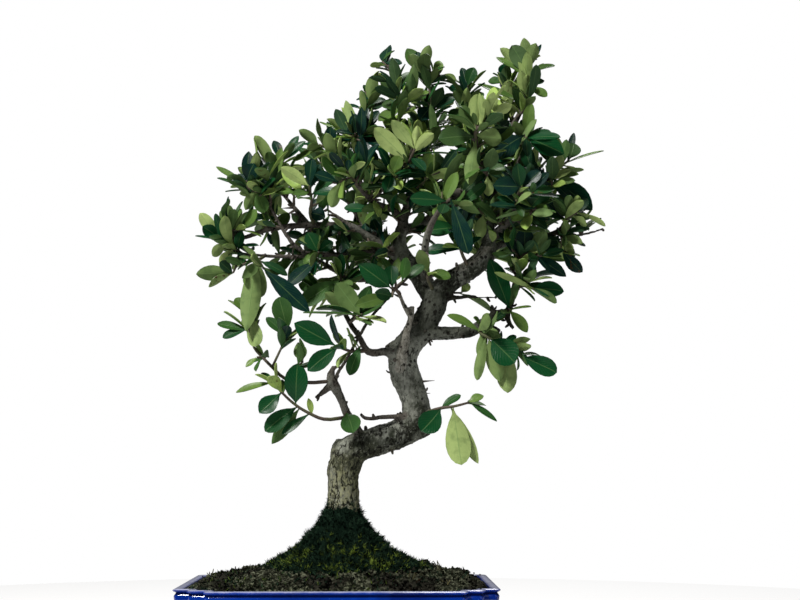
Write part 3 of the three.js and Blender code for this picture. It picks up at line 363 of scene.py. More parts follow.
class Draw:
    """Random draws that are the same on every run."""

    def __init__(self, seed):
        self.state = (seed * 2654435761) & 0xFFFFFFFF

    def __call__(self, low=0.0, high=1.0):
        self.state = (self.state * 1664525 + 1013904223) & 0xFFFFFFFF
        return low + (high - low) * self.state / 4294967296

    def way(self):
        """Direction drawn evenly over the sphere."""
        z = self(-1, 1)
        turn = self(0, math.tau)
        flat = math.sqrt(1 - z * z)
        return Vector((flat * math.cos(turn), flat * math.sin(turn), z))


def crumb(mesh, place, size, draw):
    """Broken grain of soil, half sunk where it lies."""
    turn = draw.way().to_track_quat("Z", "Y").to_matrix().to_4x4()
    squash = Matrix.Diagonal((draw(0.6, 1.3), draw(0.6, 1.2), draw(0.45, 0.9), 1))
    grain = bmesh.ops.create_icosphere(mesh, subdivisions=1, radius=size * MM,
                                       matrix=Matrix.Translation(place) @ turn @ squash)["verts"]
    for vert in grain:
        vert.co += draw.way() * size * 0.22 * MM


def tinted(mesh, name, value):
    """Gives every vertex of a mesh the same value of a named attribute."""
    layer = mesh.verts.layers.float_color.get(name) or mesh.verts.layers.float_color.new(name)
    for vert in mesh.verts:
        vert[layer] = value
    return mesh


def gather(whole, part):
    """Puts a finished part into a larger mesh."""
    data = data_of("part", part)
    whole.from_mesh(data)
    bpy.data.meshes.remove(data)


soil_top = bmesh.new()
bmesh.ops.create_grid(soil_top, x_segments=SOIL_CELLS[0], y_segments=SOIL_CELLS[1], size=1)
for vert in soil_top.verts:
    x, y = vert.co.x * SOIL_HALF[0], vert.co.y * SOIL_HALF[1]
    rough = noise.fractal(Vector((x, y, 0)) * 0.16, 0.7, 2.2, 4) * 2.0
    rough += noise.noise(Vector((x, y, 7)) * 0.9) * 0.7
    vert.co = Vector((x, y, soil_height(x, y) + rough)) * MM
soil_base = bmesh.ops.extrude_face_region(soil_top, geom=list(soil_top.faces), use_keep_orig=True)["geom"]
for vert in [item for item in soil_base if isinstance(item, bmesh.types.BMVert)]:
    vert.co.z = SOIL_UNDERSIDE * MM
bmesh.ops.recalc_face_normals(soil_top, faces=soil_top.faces)
soil = object_of("potting_soil", soil_top)
carve(soil, object_of("pot_inside", pot_form(SOIL_INSIDE)), "INTERSECT")
soil_mesh = mesh_of(soil)
draw = Draw(11)
for _ in range(HANDFULS):
    handful = bmesh.new()
    for _ in range(CRUMBS_IN_HANDFUL):
        x, y = draw(-CRUMB_FIELD[0], CRUMB_FIELD[0]), draw(-CRUMB_FIELD[1], CRUMB_FIELD[1])
        in_notch = abs(x) > CRUMB_NOTCH[0] and abs(y) > CRUMB_NOTCH[1]
        if from_mound(x, y) >= MOSS_HEART and not in_notch:
            lie = Vector((x, y, soil_height(x, y) + draw(0, 1.2))) * MM
            crumb(handful, lie, draw(0.4, 1.9) ** 1.3, draw)
    gather(soil_mesh, handful)
for x, y, size in SPILT_CRUMBS:
    crumb(soil_mesh, Vector((x, y, LIP_TOP)) * MM, size, draw)
tinted(soil_mesh, "litter", (0, 0, 0, 1))
litter = soil_mesh.verts.layers.float_color["litter"]
for x, y, long, pale in STRAWS:
    for _ in range(3):
        lean = Matrix.Rotation(draw(-0.7, 0.7), 4, "Y") @ Matrix.Rotation(draw(-0.5, 0.5), 4, "X")
        foot = Vector((x + draw(-3, 3), y, 0))
        foot.z = soil_height(foot.x, y) + long / 2 - 0.5
        straw = bmesh.ops.create_cone(soil_mesh, segments=5, radius1=STRAW_ENDS[0] * MM,
                                      radius2=STRAW_ENDS[1] * MM, depth=long * MM, cap_ends=True,
                                      matrix=Matrix.Translation(foot * MM) @ lean)["verts"]
        for vert in straw:
            vert[litter] = (pale, 0, 0, 1)
soil_mesh.to_mesh(soil.data)
soil_mesh.free()


def potting_soil():
    """Damp dark mix, each crumb a little different, with rusty bark, grey grit and dried patches."""
    earth = Finish("potting_mix", roughness=0.95, specular_ior_level=0.0)
    grains = earth.node("ShaderNodeTexVoronoi", Vector=earth.place, Scale=520.0)
    tone = earth.node("ShaderNodeSeparateColor", Color=grains.outputs["Color"]).outputs["Red"]
    base = earth.mix(earth.ramp(tone, 0.1, 0.95), (0.0015, 0.0016, 0.0013), (0.026, 0.025, 0.019))
    rust = earth.ramp(earth.noise(240, 2), 0.64, 0.74, 0, 0.5)
    base = earth.mix(rust, base, (0.03, 0.014, 0.006))
    dried = earth.mix(earth.ramp(earth.noise(500, 2), 0.4, 0.7), (0.014, 0.018, 0.009), (0.21, 0.225, 0.15))
    patches = earth.ramp(earth.noise(46, 3), 0.44, 0.58)
    patches = earth.math("MULTIPLY", patches, earth.ramp(tone, 0.2, 0.7, 0.2, 0.75))
    base = earth.mix(patches, base, dried)
    grit = earth.ramp(earth.noise(1500, 1), 0.73, 0.78, 0, 0.8)
    base = earth.mix(grit, base, (0.2, 0.19, 0.16))
    base = earth.mix(earth.painted("litter")["Red"], base, (0.3, 0.27, 0.12))
    earth.bump(earth.noise(1100, 4), 0.8, 0.0012)
    return earth.colour(base)


soil.data.materials.append(potting_soil())
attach(soil, "root")
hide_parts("soil")


# Trunk: one grown piece of wood from the root end in the soil to the limbs of the crown. Its bark
# is grey and finely cracked, with lichen near the soil, and old cuts have healed to knots. Places
# are as they look from the front: across, up, depth behind the trunk's plane, and radius.
EYE_AWAY = 928
FRONT_EYE = Vector((28, -EYE_AWAY, 144))
TRUNK = [
    [2, 44, 0, 13], [2, 72, 0, 13], [2, 100, 0, 12.2], [2.2, 120, 0, 11.5], [2.2, 136, 0, 11],
    [3, 148, 0, 11.4], [8, 158, 0, 11.6], [20, 163.5, 0, 10.4], [33, 168, 0, 10.2], [45, 172.5, 0, 10.6],
    [53, 180, 0, 10.8], [53.5, 191, 0, 10], [50, 203, 0, 10.2], [45.5, 214, 0, 10.6], [44, 224, 0, 10.4],
    [49, 235, 0, 10.3], [57, 245, 0, 10], [63, 256, 0, 9.4], [68, 268, 0, 9.2], [70, 277, 0, 7],
]
# Knots, stubs, forks and branches that are one piece with the trunk
LIMBS = [
    # Old cuts at the bends
    [[2, 150, 0, 8.5], [0.5, 160, 0, 7.6], [1, 167, 0, 4]],
    [[52, 174, 0, 8.5], [60, 175, 0, 6.6], [65, 176, 0, 4]],
    [[44, 224, 0, 8], [37, 231, 0, 6], [34, 235, 0, 3.6]],
    # Right fork and its leader
    [[68, 270, 0, 8.4], [77, 279, -2, 8], [86, 285, -4, 7.5], [96, 291, -6, 7.4], [104, 299, -6, 6.8],
     [107, 310, -4, 5.6], [105, 323, 0, 4.6], [103, 335, 4, 4], [104, 347, 6, 3.4], [109, 362, 6, 2.9],
     [117, 380, 4, 2.5], [126, 397, 0, 2.2], [133, 410, -2, 1.9]],
    # Left fork
    [[66, 268, 2, 8], [60, 278, 5, 7.4], [52, 289, 8, 6.8], [45, 298, 10, 6.2], [42, 308, 10, 5.2],
     [43, 319, 8, 4.4]],
    [[43, 316, 8, 4.2], [46, 330, 6, 3.6], [51, 342, 2, 3], [56, 351, -4, 2.5], [51, 360, -10, 2.1],
     [45, 367, -14, 1.9]],
    [[44, 317, 8, 4], [55, 321, 14, 3.8], [66, 327, 18, 3.7], [74, 338, 18, 3.5], [83, 345, 14, 3.3],
     [92, 348, 8, 2.9], [99, 360, 0, 2.4], [97, 376, -4, 2]],
    # Left limbs of the crown
    [[44, 297, 10, 5], [35, 302, 12, 3.8], [25, 309, 10, 3.6], [15, 315, 6, 3.4], [6, 320, 2, 3.2],
     [-8, 321, 0, 2.7], [-24, 321, 0, 2.4], [-41, 320, -2, 2.1], [-56, 317, -4, 1.9],
     [-70, 312, -6, 1.7], [-79, 311, -8, 1.5]],
    [[5, 321, 2, 2.4], [-3, 327, -1, 1.6], [-11, 333, -3, 0.9]],
    [[44, 318, 8, 3], [42, 327, 4, 2.6], [36, 333, 0, 2.4], [28, 336, -2, 2.4], [21, 340, -4, 2.3],
     [15, 350, -2, 1.9], [11, 360, 0, 1.8], [10, 374, 4, 1.6], [10, 385, 6, 1.4]],
    [[21, 340, -4, 2], [30, 348, -11, 1.5], [37, 355, -17, 1.3]],
    [[21, 340, -4, 2], [15, 346, -24, 1.8], [10, 352, -42, 1.6]],
    [[40, 303, 10, 2.2], [10, 301, 4, 1.8], [-16, 299, 0, 1.6], [-45, 298, -6, 1.4],
     [-74, 300, -10, 1.3]],
    [[-18, 299, 0, 1.6], [-30, 303, -6, 1.6], [-38, 311, -9, 1.5], [-45, 322, -11, 1.4],
     [-52, 335, -11, 1.3], [-57, 344, -11, 1.2]],
    [[46, 292, 8, 3], [35, 287, 14, 2.6], [20, 282, 18, 2.5], [8, 282, 20, 2.4], [0, 286, 20, 2.2],
     [-10, 291, 18, 2], [-20, 297, 14, 1.6]],
    # Low branches of the left side
    [[14, 168, -3, 4.4], [9, 178, -6, 3.2], [4, 186, -7, 3], [0, 196, -8, 3], [-4, 204, -9, 3.6],
     [-7, 210, -10, 3.4], [-5, 219, -10, 1.4]],
    [[-6, 206, -9, 3], [-14, 199, -6, 1.9], [-18, 196, -5, 1.2]],
    [[48, 183, -5, 2.2], [30, 182.5, -10, 1.7], [17, 182, -13, 1.5], [14, 185, -14, 1.2]],
    [[-4, 204, -9, 2], [-3, 212, -15, 1.5], [3, 222, -19, 1.3], [13, 240, -22, 1.3],
     [20, 252, -23, 1.3], [30, 264, -23, 1.2], [38, 273, -23, 1.2], [48, 283, -21, 1]],
    [[42, 225, -2, 6], [33, 229, -6, 3.4], [20, 229, -10, 2.7], [16, 234, -12, 2.3],
     [13, 240, -13, 2.1], [8, 247, -14, 2], [3, 256, -14, 1.8], [0, 262, -14, 1.5]],
    [[43, 216, -6, 4], [44, 230, -10, 3], [47, 243, -13, 2.6], [50, 253, -14, 2.3], [51, 262, -14, 1.8]],
    [[50, 254, -14, 2], [45, 263, -16, 1.6], [41, 273, -18, 1.4]],
    # Low branches of the right side
    [[58, 243, -2, 6], [75, 242.5, -6, 4.8], [85, 243, -7, 4.3], [93, 244, -8, 4.2],
     [104, 251, -8, 3.7], [113, 256.5, -8, 3.3], [119, 258, -8, 2.8], [122, 264, -8, 2.4],
     [124, 272, -8, 2.2], [125.5, 280, -8, 2], [128, 290, -9, 1.8]],
    [[119, 257, -8, 2.5], [121, 250, -11, 1.7], [124, 246, -12, 1.5]],
    [[110, 256, -8, 2.6], [108, 263, -7, 1.4]],
    [[102, 249, -7, 3], [109, 246, -2, 2.6], [114, 244, 2, 1.8]],
    [[70, 268, 0, 3], [90, 268.5, -2, 1.1], [112, 268.5, -4, 0.9]],
    # Right limbs of the crown
    [[107, 310, -4, 4], [118, 321, -18, 3], [128, 328, -34, 2.6], [138, 333, -50, 2.1]],
    [[124, 325, -27, 2.6], [127, 336, -44, 2], [129, 345, -58, 1.6]],
    [[106, 320, 0, 3.8], [120, 331, 8, 3], [134, 343, 10, 2.6], [146, 353, 7, 2.2], [153, 357, 3, 1.7]],
    [[106, 305, -4, 4.4], [120, 309, 4, 3], [135, 312, 8, 2.6], [149, 314, 8, 2.3], [158, 318, 6, 2],
     [163, 325, 4, 1.7]],
    [[155, 316, 7, 2], [168, 314, 4, 1.3], [180, 316, 0, 1.1], [190, 319, -2, 0.9]],
    [[104, 338, 4, 3.2], [116, 348, 0, 2.6], [125, 362, -4, 2.2], [131, 377, -8, 1.8],
     [133, 385, -10, 1.6]],
    [[104, 348, 4, 3], [101, 362, -22, 2.3], [98, 378, -38, 1.9], [98, 387, -46, 1.6]],
    [[61, 280, -4, 4], [60, 300, -22, 3], [65, 322, -38, 2.4], [75, 338, -48, 1.8]],
    # Limbs of the back of the crown
    [[106, 322, 0, 3.6], [111, 332, 24, 2.8], [116, 346, 46, 2.3], [120, 360, 62, 1.7]],
    [[66, 327, 18, 3.4], [68, 343, 38, 2.6], [66, 362, 54, 2.1], [62, 382, 62, 1.6]],
    [[25, 309, 10, 3.2], [14, 325, 32, 2.5], [3, 342, 50, 2.1], [-6, 358, 60, 1.6]],
    [[88, 286, 0, 4.4], [102, 294, 28, 3], [117, 303, 52, 2.3], [128, 312, 64, 1.6]],
    [[47, 296, 12, 4.6], [32, 292, 36, 3], [18, 294, 58, 2.3], [6, 300, 70, 1.6]],
    [[-24, 321, 0, 2.4], [-32, 331, 22, 1.9], [-42, 343, 38, 1.5]],
]
BARK_CELL = 1.0
STEM_STEPS = 8
UPWARD = Vector((0, 0, 1))
# Limbs, by their place in the list, whose wood is dead and bleached
DEAD_WOOD = (20, 21)
# Strips where the bark is off, as seen from the front: both ends and half the width
BARE_STRIPS = [((84, 288), (106, 306), 3.8), ((41, 300), (43, 321), 2.4)]
SPUR_SPACING = 11
SPUR_REACH = (1.2, 4.5)
THORN_REACH = (5, 11)
THORN_SHARE = 0.2
# Thorns that the front view shows: across, up, depth and how far they reach to the right
THORNS = [(53, 207, -2, 14), (86, 268.5, -2, 6), (97, 268.5, -2, -5), (52, 198, 4, 12)]


def seen(across, up, depth):
    """Place in space of a point seen from the front, moved back along the line of sight."""
    return FRONT_EYE + (Vector((across, 0, up)) - FRONT_EYE) * (1 + depth / EYE_AWAY)


def as_seen(place):
    """Across and up, on the trunk's plane, of a place seen from the front."""
    share = EYE_AWAY / (place.y + EYE_AWAY)
    return (FRONT_EYE.x + (place.x - FRONT_EYE.x) * share, FRONT_EYE.z + (place.z - FRONT_EYE.z) * share)


def flat_point(place, radius):
    """A stem's point as the front view gives it."""
    return [*as_seen(place), place.y, radius]


def stems_mesh(stems, roundness, between=5):
    """Mesh of round stems through their points, each point with a radius, in metres."""
    curve = bpy.data.curves.new("stems", "CURVE")
    curve.dimensions = "3D"
    curve.bevel_depth = 1
    curve.bevel_resolution = roundness
    curve.use_fill_caps = True
    curve.resolution_u = between
    for stem in stems:
        spline = curve.splines.new("BEZIER")
        spline.radius_interpolation = "CARDINAL"
        spline.bezier_points.add(len(stem) - 1)
        for point, (across, up, depth, radius) in zip(spline.bezier_points, stem):
            point.co = seen(across, up, depth) * MM
            point.handle_left_type = point.handle_right_type = "AUTO"
            point.radius = radius * MM
    holder = bpy.data.objects.new("stems", curve)
    bpy.context.scene.collection.objects.link(holder)
    data = bpy.data.meshes.new_from_object(holder.evaluated_get(bpy.context.evaluated_depsgraph_get()))
    mesh = bmesh.new()
    mesh.from_mesh(data)
    bmesh.ops.remove_doubles(mesh, verts=mesh.verts, dist=1e-7)
    bpy.data.objects.remove(holder)
    bpy.data.curves.remove(curve)
    bpy.data.meshes.remove(data)
    return mesh


def spans(stem):
    """Start, end, direction and both radii of each stretch between a stem's points."""
    for a, b in zip(stem, stem[1:]):
        start, end = seen(*a[:3]), seen(*b[:3])
        yield start, end, (end - start).normalized(), a[3], b[3]


class StemMap:
    """Finds the stem that a place of the bark belongs to, by steps along the stems."""

    def __init__(self, stems, dead):
        self.tree = KDTree(sum(STEM_STEPS * (len(stem) - 1) for stem in stems))
        self.facts = []
        for stem in stems:
            for start, end, way, thick, thin in spans(stem):
                for step in range(STEM_STEPS):
                    share = (step + 0.5) / STEM_STEPS
                    self.tree.insert(start.lerp(end, share), len(self.facts))
                    self.facts.append((thick + (thin - thick) * share, way, float(stem in dead)))
        self.tree.balance()

    def nearest(self, place):
        """Radius, direction, deadness and distance of the nearest stem."""
        _, number, away = self.tree.find(place)
        return (*self.facts[number], away)


def bark_relief(place, way, thick):
    """How far bark rises, in millimetres, with cracks along the stem; how far they are shut; its grit."""
    along = place.dot(way)
    grain = (place - way * along) * 0.5 + way * along * 0.09
    cracks = abs(noise.noise(grain * 1.5)) * 2 - 0.35
    broad = noise.fractal(place * 0.085, 0.6, 2.1, 3)
    fine = noise.fractal(place * 0.55, 0.6, 2.1, 2)
    rings = noise.noise(Vector((along * 0.35, 0, 3)))
    rise = thick * (0.75 * broad + 0.3 * min(cracks, 0.5) + 0.2 * rings) + (0.1 + 0.15 * thick) * fine
    return rise, min(max(cracks + 0.35, 0), 1), fine


def bare_wood(place, ragged):
    """How bare a strip leaves the wood at a place of its front, with a ragged edge."""
    across_up = Vector(as_seen(place))
    bare = 0
    for start, end, width in BARE_STRIPS:
        beside = (across_up - geometry.intersect_point_line(across_up, start, end)[0]).length
        between = start[1] < across_up.y < end[1] and place.y < 0
        bare = max(bare, smooth_step(beside + ragged, width, width * 0.5) * between)
    return bare


trunk = object_of("trunk_wood", stems_mesh([TRUNK, *LIMBS], 4))
apply_modifiers(trunk, ("REMESH", {"mode": "VOXEL", "voxel_size": BARK_CELL * MM}),
                ("SMOOTH", {"factor": 0.6, "iterations": 3}))
stem_map = StemMap([TRUNK, *LIMBS], [LIMBS[number] for number in DEAD_WOOD])
bark_mesh = mesh_of(trunk)
bark_mesh.normal_update()
bark_tint = bark_mesh.verts.layers.float_color.new("bark")
for vert in bark_mesh.verts:
    place = vert.co / MM
    radius, way, dead, away = stem_map.nearest(place)
    thick = min(max(radius / 10, away / 10), 1)
    rise, shut, fine = bark_relief(place, way, thick)
    vert.co += vert.normal * rise * MM
    bare = max(dead if away < radius * 1.25 else 0, bare_wood(place, fine))
    vert[bark_tint] = (thick, shut, bare, 1)
bark_surface = BVHTree.FromBMesh(bark_mesh)
draw = Draw(31)
spurs = []
for stem in [TRUNK[6:], *LIMBS[3:]]:
    for start, end, way, thick_end, thin_end in spans(stem):
        for _ in range(max(round((end - start).length / SPUR_SPACING), 1)):
            share = draw()
            foot, radius = start.lerp(end, share), thick_end + (thin_end - thick_end) * share
            out = (way.cross(draw.way()).normalized() + way * draw(0, 0.7)).normalized()
            thorn = draw() < THORN_SHARE and radius < 4
            reach = draw(*(THORN_REACH if thorn else SPUR_REACH))
            thick = min(radius, draw(0.7, 1.3))
            root = bark_surface.find_nearest((foot + out * radius) * MM)[0] / MM
            bend = root + out * reach * 0.5 + draw.way() * 0.3
            tip = root + out * reach + UPWARD * draw(-0.5, 1)
            spurs.append([flat_point(root - out * 0.8, thick),
                          flat_point(bend, thick * (0.6 if thorn else 1.05)),
                          flat_point(tip, 0.15 if thorn else thick * 0.6)])
for across, up, depth, reach in THORNS:
    foot = seen(across, up, depth)
    spurs.append([flat_point(foot, 1.3), flat_point(foot + Vector((reach * 0.5, 0, 1)), 0.8),
                  flat_point(foot + Vector((reach, 0, 1.5)), 0.15)])
gather(bark_mesh, tinted(stems_mesh(spurs, 1, 2), "bark", (0.2, 1, 0, 1)))
bark_mesh.to_mesh(trunk.data)
bark_mesh.free()


def firethorn_bark():
    """Ash grey bark, pitted and scaly in patches: olive with lichen low down, grey-brown and
    smoother on the limbs, and bleached where the wood of an old stub is bare."""
    bark = Finish("firethorn_bark", roughness=0.7, specular_ior_level=0.06)
    height = bark.height()
    stretched = (1, 1, 0.6)
    broad = bark.noise(40, 4, (1, 1, 0.7), 0.6)
    fine = bark.noise(520, 4, stretched, 0.75)
    thickness, shut, dead = bark.painted("bark")
    base = bark.mix(bark.ramp(broad, 0.43, 0.58), (0.028, 0.032, 0.022), (0.225, 0.235, 0.2))
    base = bark.mix(bark.ramp(fine, 0.5, 0.72, 0, 0.5), base, (0.36, 0.37, 0.32))
    base = bark.mix(bark.ramp(fine, 0.48, 0.34, 0, 0.55), base, (0.035, 0.036, 0.028))
    young = bark.mix(fine, (0.02, 0.017, 0.014), (0.15, 0.135, 0.115))
    base = bark.mix(bark.ramp(thickness, 0.5, 0.2), base, young)
    above, below = bark.ramp(height, 0.228, 0.245, 0, 0.75), bark.ramp(height, 0.285, 0.265)
    in_shade = bark.math("MULTIPLY", above, below)
    base = bark.mix(in_shade, base, (0.014, 0.017, 0.011))
    bleached = bark.mix(bark.ramp(fine, 0.35, 0.7), (0.16, 0.15, 0.12), (0.4, 0.39, 0.34))
    base = bark.mix(bark.math("MULTIPLY", dead, 0.85), base, bleached)
    edge = bark.height(-0.06, 50, 4)
    lichen = bark.math("MULTIPLY", bark.ramp(edge, 0.142, 0.1), bark.ramp(fine, 0.36, 0.6, 0.1, 0.9))
    base = bark.mix(bark.math("MULTIPLY", lichen, 0.8), base, (0.26, 0.26, 0.13))
    base = bark.mix(bark.ramp(shut, 0.2, 0.02, 0, 0.9), base, (0.008, 0.009, 0.006))
    seams = bark.math("ABSOLUTE", bark.math("SUBTRACT", bark.noise(120, 3, (1, 1, 0.4), 0.6), 0.5))
    patches = bark.ramp(bark.noise(26, 3, stretched), 0.5, 0.58, 0.1, 1)
    patches = bark.math("MAXIMUM", patches, bark.ramp(edge, 0.15, 0.1))
    scaly = bark.math("MULTIPLY", bark.ramp(seams, 0.03, 0.004), patches)
    base = bark.mix(bark.math("MULTIPLY", scaly, 0.95), base, (0.01, 0.01, 0.007))
    pits = bark.node("ShaderNodeTexVoronoi", Vector=bark.place, Scale=230.0).outputs["Distance"]
    pits = bark.math("MULTIPLY", bark.ramp(pits, 0.32, 0.18), bark.ramp(bark.noise(62, 2), 0.5, 0.58))
    base = bark.mix(bark.math("MULTIPLY", pits, 0.9), base, (0.01, 0.009, 0.007))
    relief = bark.math("ADD", fine, bark.math("MULTIPLY", broad, 0.6))
    bark.bump(bark.math("SUBTRACT", relief, bark.math("ADD", pits, scaly)), 0.85, 0.0014)
    return bark.colour(base)


trunk.data.materials.append(firethorn_bark())
shade_smooth(trunk, 180)
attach(trunk, "root")
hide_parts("trunk")


# Moss: one living cushion, pressed on by hand from the soil up to the bark, where it has rooted
# and begun to climb the trunk. Strands run from near black to bottle green at random, the near
# black partly a painted shade among them, and the cushion under them is tinted dark as painted
# shade in the hollows; fresh yellow tips where water runs.
MOSS_THICK = 3.2
MOSS_INNER = 9.5
MOSS_RINGS = 64
MOSS_TURNS = 180
MOSS_EDGE_DROP = 2.8
TUFTS = 5600
CLIMBING_TUFTS = 420
CLIMB_FOOT = 112
CLIMB_RISE = 14
STRAGGLING_TUFTS = 2400
# Where loose moss has spread over the soil at the front left: centre and reach
LOOSE_MOSS = (-20, -20, 72)


def moss_form(place, share):
    """Height of the moss over the mound, in millimetres, thinning out at its edge."""
    near = noise.voronoi(Vector((place.x, place.y, 0)) * 0.13)[0][0]
    cushion = max(0, 1 - 1.5 * near) * 2.4
    rough = noise.fractal(Vector((place.x, place.y, 5)) * 0.3, 0.7, 2.1, 3) * 1.1
    return (cushion + rough + 0.7 * lumps(1.7 * place.x, 1.7 * place.y)) * smooth_step(share, 1.0, 0.85)


moss_mesh = bmesh.new()
ring_line = []
for ring in range(MOSS_RINGS):
    away = MOSS_INNER + (MOSS_REACH - MOSS_INNER) * ring / (MOSS_RINGS - 1)
    ring_line.append(moss_mesh.verts.new((away * MM, 0, 0)))
for inner, outer in zip(ring_line, ring_line[1:]):
    moss_mesh.edges.new((inner, outer))
bmesh.ops.spin(moss_mesh, geom=[*moss_mesh.verts, *moss_mesh.edges], cent=(0, 0, 0), axis=(0, 0, 1),
               angle=math.tau, steps=MOSS_TURNS, use_merge=True)
for vert in moss_mesh.verts:
    turn = math.atan2(vert.co.y, vert.co.x)
    away = vert.co.xy.length / MM
    share = away / MOSS_REACH
    reach = away + (moss_reach(turn) - MOSS_REACH) * share
    place = Vector((MOUND_CENTRE[0] + math.cos(turn) * reach, math.sin(turn) * reach, 0))
    drop = MOSS_EDGE_DROP * smooth_step(share, 0.9, 1.0)
    place.z = mound_height(place.x, place.y) + moss_form(place, share) - drop
    vert.co = place * MM
bmesh.ops.recalc_face_normals(moss_mesh, faces=moss_mesh.faces)
if sum(face.normal.z for face in moss_mesh.faces) < 0:
    bmesh.ops.reverse_faces(moss_mesh, faces=moss_mesh.faces)
moss_ground = BVHTree.FromBMesh(moss_mesh)
moss = object_of("moss_cushion", moss_mesh)
apply_modifiers(moss, ("SOLIDIFY", {"thickness": MOSS_THICK * MM, "offset": -1.0}))


def moss_tuft(strands, draw):
    """Small star of tapering strands, 1 mm long before it is scaled."""
    tuft = bmesh.new()
    for strand in range(strands):
        tilt = draw(0.15, 1.15) if strand else 0.1
        lean = Matrix.Rotation(strand * 2.4 + draw(0, 0.6), 4, "Z") @ Matrix.Rotation(tilt, 4, "Y")
        long = draw(0.7, 1.2)
        bmesh.ops.create_cone(tuft, segments=3, radius1=0.12 * MM, radius2=0, depth=long * MM, cap_ends=False,
                              matrix=lean @ Matrix.Translation((0, 0, (long / 2 - 0.1) * MM)))
    return data_of("tuft", tuft)


def planted(tufts, places, draw):
    """Mesh of tufts, each set at a place, towards a direction, at a size and with an age."""
    whole = bmesh.new()
    for start in range(0, len(places), 200):
        bed = bmesh.new()
        shade = bed.verts.layers.float_color.new("moss")
        counts = []
        for one in places[start:start + 200]:
            before = len(bed.verts)
            bed.from_mesh(tufts[int(draw(0, len(tufts) - 0.001))])
            counts.append((len(bed.verts) - before, *one))
        grown = iter(bed.verts)
        for count, place, way, size, age in counts:
            turn = way.to_track_quat("Z", "Y").to_matrix() @ Matrix.Rotation(draw(0, math.tau), 3, "Z") * size
            tint = (age, draw(), 0, 1)
            for _ in range(count):
                vert = next(grown)
                vert.co = place + turn @ vert.co
                vert[shade] = tint
        gather(whole, bed)
    return whole


def tuft_age(x, y, share, draw):
    """How fresh a tuft is: some tips are yellow low on the cushion, in patches, and none near the trunk."""
    fresh = noise.noise(Vector((x, y, 3)) * 0.09) + 0.7 * noise.noise(Vector((x, y, 9)) * 0.4)
    low = smooth_step(share, 0.3, 0.75) * smooth_step(share, 1.02, 0.9)
    age = 0
    if draw() < 0.25 + 0.45 * low:
        age = min(max(0.9 * fresh + 0.35 * low - 0.1 + draw(-0.5, 0.5), 0), 1)
    return age * smooth_step(share, 0.22, 0.6)


draw = Draw(23)
tuft_kinds = [moss_tuft(4, draw) for _ in range(6)]
strand_kinds = [moss_tuft(2, draw) for _ in range(4)]
moss_places = []
for _ in range(TUFTS):
    turn, share = draw(0, math.tau), math.sqrt(draw(0.03, 1.05))
    reach = share * moss_reach(turn)
    x, y = MOUND_CENTRE[0] + math.cos(turn) * reach, math.sin(turn) * reach
    hit, normal, _, _ = moss_ground.ray_cast(Vector((x, y, 200)) * MM, Vector((0, 0, -1)))
    if not hit:
        hit, normal = Vector((x, y, soil_height(x, y))) * MM, UPWARD
    age = tuft_age(x, y, share, draw)
    way = (normal + draw.way() * 0.8 + UPWARD * 0.2).normalized()
    moss_places.append((hit, way, draw(1.8, 4.6), age))
for _ in range(CLIMBING_TUFTS):
    turn, up = draw(0, math.tau), CLIMB_FOOT + CLIMB_RISE * draw() ** 2.2
    start = Vector((2.1 + 30 * math.cos(turn), 30 * math.sin(turn), up)) * MM
    hit, normal, _, _ = bark_surface.ray_cast(start, Vector((-math.cos(turn), -math.sin(turn), 0)))
    if hit:
        way = (normal + draw.way() * 0.4 + UPWARD * 0.5).normalized()
        moss_places.append((hit, way, draw(0.9, 1.9), 0.1))
strands = planted(tuft_kinds, moss_places, draw)
straggling = []
for _ in range(STRAGGLING_TUFTS):
    x, y = draw(-96, 94), draw(-71, 70)
    near = math.hypot(x - LOOSE_MOSS[0], y - LOOSE_MOSS[1]) < LOOSE_MOSS[2]
    patchy = noise.noise(Vector((x, y, 0)) * 0.04) > (-0.4 if near else 0.05)
    if from_mound(x, y) > 0.9 * MOSS_REACH and patchy:
        place = Vector((x, y, soil_height(x, y) + 0.5)) * MM
        way = (draw.way() * 0.8 + UPWARD).normalized()
        size = draw(1.4, 4.2)
        straggling.append((place, way, size, draw(0, 0.8) ** 2 if near else draw(0, 0.3)))
gather(strands, planted(strand_kinds, straggling, draw))
# The cushion under the tufts gets a dark tone: painted shade in the hollows between them.
gather(strands, tinted(mesh_of(moss), "moss", (0, 0.3, 0, 1)))
strands.to_mesh(moss.data)
strands.free()


def living_moss():
    """Matt green: almost black on the darkest strands and, as painted shade, in the hollows; bottle green,
    and yellow at the fresh tips.
    """
    green = Finish("living_moss", roughness=0.9, specular_ior_level=0.0)
    age, shade, _ = green.painted("moss")
    base = green.mix(green.ramp(shade, 0, 1), (0.001, 0.0035, 0.0025), (0.019, 0.04, 0.024))
    fresh = green.mix(green.noise(300, 2), (0.035, 0.07, 0.01), (0.22, 0.29, 0.05))
    base = green.mix(green.ramp(age, 0.25, 0.85), base, fresh)
    green.bump(green.noise(900, 3), 0.8, 0.001)
    return green.colour(base)


moss.data.materials.append(living_moss())
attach(moss, "root")
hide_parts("moss")


# Leafy branches: this year's and last year's twigs with their leaves. Each leaf is glossy dark
# green above and pale below, folded a little along its midrib, on a short stalk. They stand in
# bunches at the twigs' ends and on short side shoots all along the limbs.
def head(stem_point, more, *leaves, place=None):
    """Where leaves stand together: the stem point they grow from, how many stand round it by rule,
    the leaves that the front view shows, each as its tip's across, up and depth, its width and its
    turn to the front, and the head's own place where it stands off the stem."""
    return {"stem_point": stem_point, "place": place, "more": more, "leaves": leaves}


def branch(stem, *heads):
    return {"stem": stem, "heads": heads}


